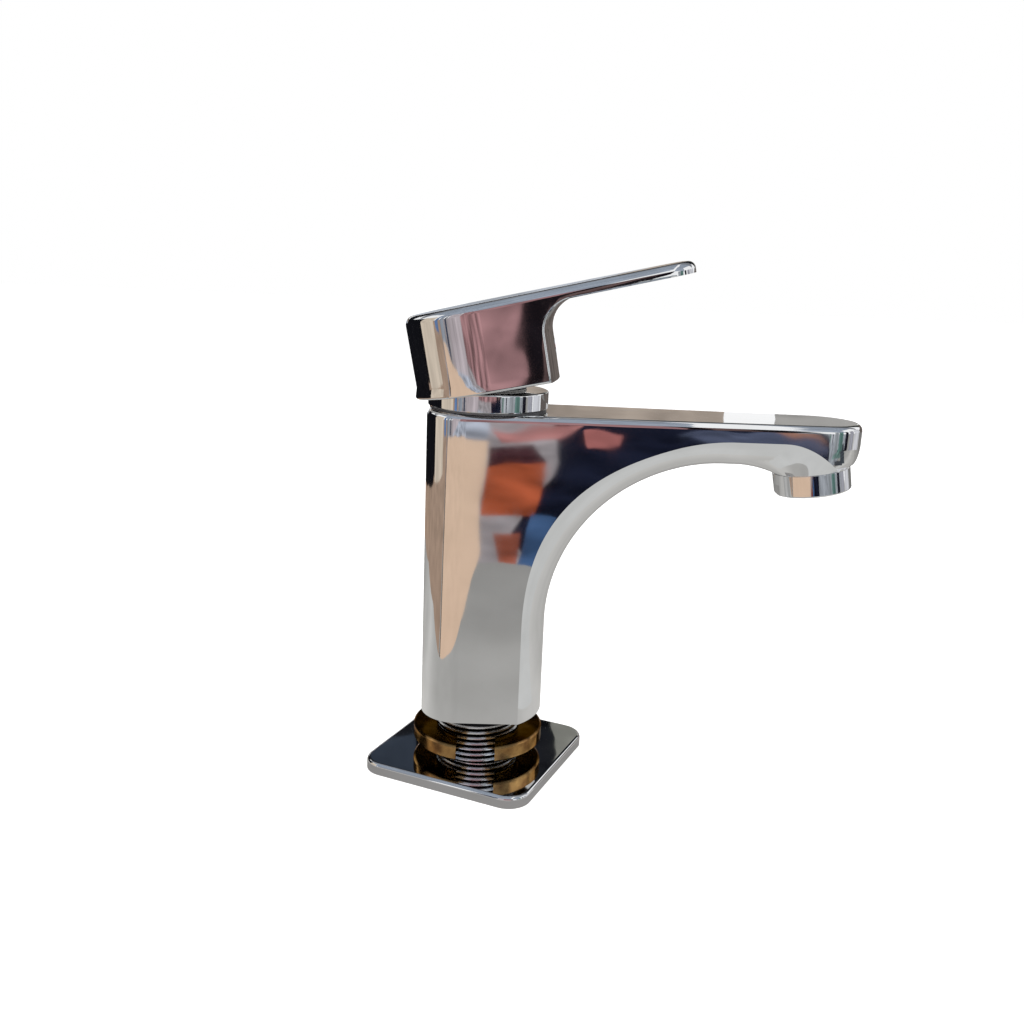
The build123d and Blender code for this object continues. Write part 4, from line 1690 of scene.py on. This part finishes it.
class Studio:
    """Floor, light, reflection cards and camera."""

    camera_place = Vector((9.39, -376.50, 192.42)) * MM
    camera_target = Vector((10.57, 0.0, 102.45)) * MM
    camera_roll = 2.29
    lens = 35.16
    floor_glow = 0.72
    soft_light = 0.45
    lamp_target = Vector((0.03, 0.0, 0.1))
    lamps = (
        ("key_lamp", (-0.7, -0.7, 1.3), 0.9, 9.0),
        ("fill_lamp", (0.9, -0.5, 1.0), 0.8, 4.0),
        ("back_lamp", (0.3, 0.9, 1.1), 0.8, 4.0),
    )

    def floor(self) -> None:
        """A plain pale floor that keeps the object's shadow."""
        Shape.clear()
        bpy.ops.mesh.primitive_plane_add(size=12.0, location=(0.0, 0.0, -0.0002))
        floor = bpy.context.object
        floor.name = "studio_floor"
        material = bpy.data.materials.new("pale_floor")
        nodes = Nodes(material, "BsdfPrincipled")
        nodes.surface({"Base Color": (0.80, 0.80, 0.80, 1.0), "Roughness": 0.9})
        nodes.surface({"Emission Color": WHITE, "Emission Strength": self.floor_glow})
        floor.data.materials.append(material)

    def light(self) -> None:
        """Soft lamps and a white surround."""
        for name, place, size, power in self.lamps:
            lamp = bpy.data.lights.new(name, "AREA")
            lamp.size = size
            lamp.energy = power
            stand = bpy.data.objects.new(name, lamp)
            stand.location = place
            stand.visible_glossy = False
            aim = self.lamp_target - Vector(place)
            stand.rotation_euler = aim.to_track_quat("-Z", "Y").to_euler()
            bpy.context.scene.collection.objects.link(stand)
        world = bpy.data.worlds.new("white_surround")
        bpy.context.scene.world = world
        nodes = Nodes(world, "MixShader", "World")
        path = nodes.add("LightPath").outputs
        seen = path["Is Camera Ray"]
        for ray in ("Is Glossy Ray", "Is Transmission Ray"):
            seen = nodes.add("Math", {0: seen, 1: path[ray]}, operation="MAXIMUM").outputs[0]
        nodes.surface({"Fac": seen})
        for slot, strength in ((1, self.soft_light), (2, 1.0)):
            glow = nodes.add("Background", {"Color": WHITE, "Strength": strength})
            nodes.surface({slot: glow.outputs[0]})

    def camera(self) -> None:
        """The camera at the photograph's viewing angle."""
        ahead = (self.camera_target - self.camera_place).normalized()
        level = ahead.cross(Vector((0.0, 0.0, 1.0))).normalized()
        upward = level.cross(ahead)
        roll = radians(self.camera_roll)
        right = level * cos(roll) + upward * sin(roll)
        up = right.cross(ahead)
        data = bpy.data.cameras.new("photo_camera")
        data.sensor_width = 36.0
        data.lens = self.lens
        data.clip_start = 0.01
        data.clip_end = 50.0
        stand = bpy.data.objects.new("photo_camera", data)
        turn = Matrix((right, up, -ahead)).transposed().to_4x4()
        stand.matrix_world = Matrix.Translation(self.camera_place) @ turn
        bpy.context.scene.collection.objects.link(stand)
        bpy.context.scene.camera = stand

    def build(self) -> None:
        """Set the studio up."""
        bpy.context.scene.view_settings.view_transform = "Standard"
        self.floor()
        self.light()
        for card in CARDS:
            card.build()
        self.camera()


class Mixer:
    """The whole mixer: its new pieces and the carried-over ones."""

    def __init__(self, frame: dict) -> None:
        """Keep the loaded frame."""
        self.frame = frame
        self.materials: dict[Finish, bpy.types.Material] = {}

    def finish(self, finish: Finish) -> bpy.types.Material:
        """The material of a finish, made once.

        Args:
            finish: The finish.

        Returns:
            Its material.
        """
        if finish not in self.materials:
            self.materials[finish] = finish.value.make()
        return self.materials[finish]

    def fit(self, piece: Piece, body: str, node: str, finish: Finish) -> None:
        """Dress a new piece and put it in its node's place.

        Args:
            piece: The finished piece.
            body: The body that it moves with.
            node: The node that it stands for.
            finish: Its finish.
        """
        piece.data.materials.clear()
        piece.data.materials.append(self.finish(finish))
        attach(piece, body)
        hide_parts(node)
        LOG.info("%s stands for %s, %d faces", piece.name, node, len(piece.data.polygons))

    def dress_carried(self) -> None:
        """Give each carried-over piece its finish."""
        for finish, names in CARRIED.items():
            for name in names:
                for slot in self.frame["nodes"][name].material_slots:
                    slot.material = self.finish(finish)
                LOG.info("%s carried over in %s", name, finish.name.lower())

    def build(self) -> None:
        """Build and dress all pieces."""
        chrome = Finish.CHROME
        casting = Casting()
        self.fit(casting.build(), "body", "faucet_body", chrome)
        outlet = Outlet().build(casting.outlet_frame())
        self.fit(outlet, "body", "aerator_housing", chrome)
        self.fit(Collar().build(), "body", "cartridge_collar", chrome)
        self.fit(Shank().build(), "body", "mounting_shank", Finish.THREAD)
        self.fit(LockRing().build(), "body", "lock_ring", Finish.RING)
        self.fit(CoverPlate().build(), "plate", "cover_plate", chrome)
        self.fit(Lever().build(), "lever", "handle", chrome)
        self.dress_carried()


def corners(box: Sequence[Sequence[float]]) -> list[list[float]]:
    """A box's two corners as plain lists."""
    return [[float(value) for value in corner] for corner in box]


def main() -> None:
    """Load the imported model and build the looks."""
    logging.basicConfig(level=logging.INFO, format="%(message)s")
    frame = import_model()
    Mixer(frame).build()
    Studio().build()


if __name__ == "__main__":
    main()
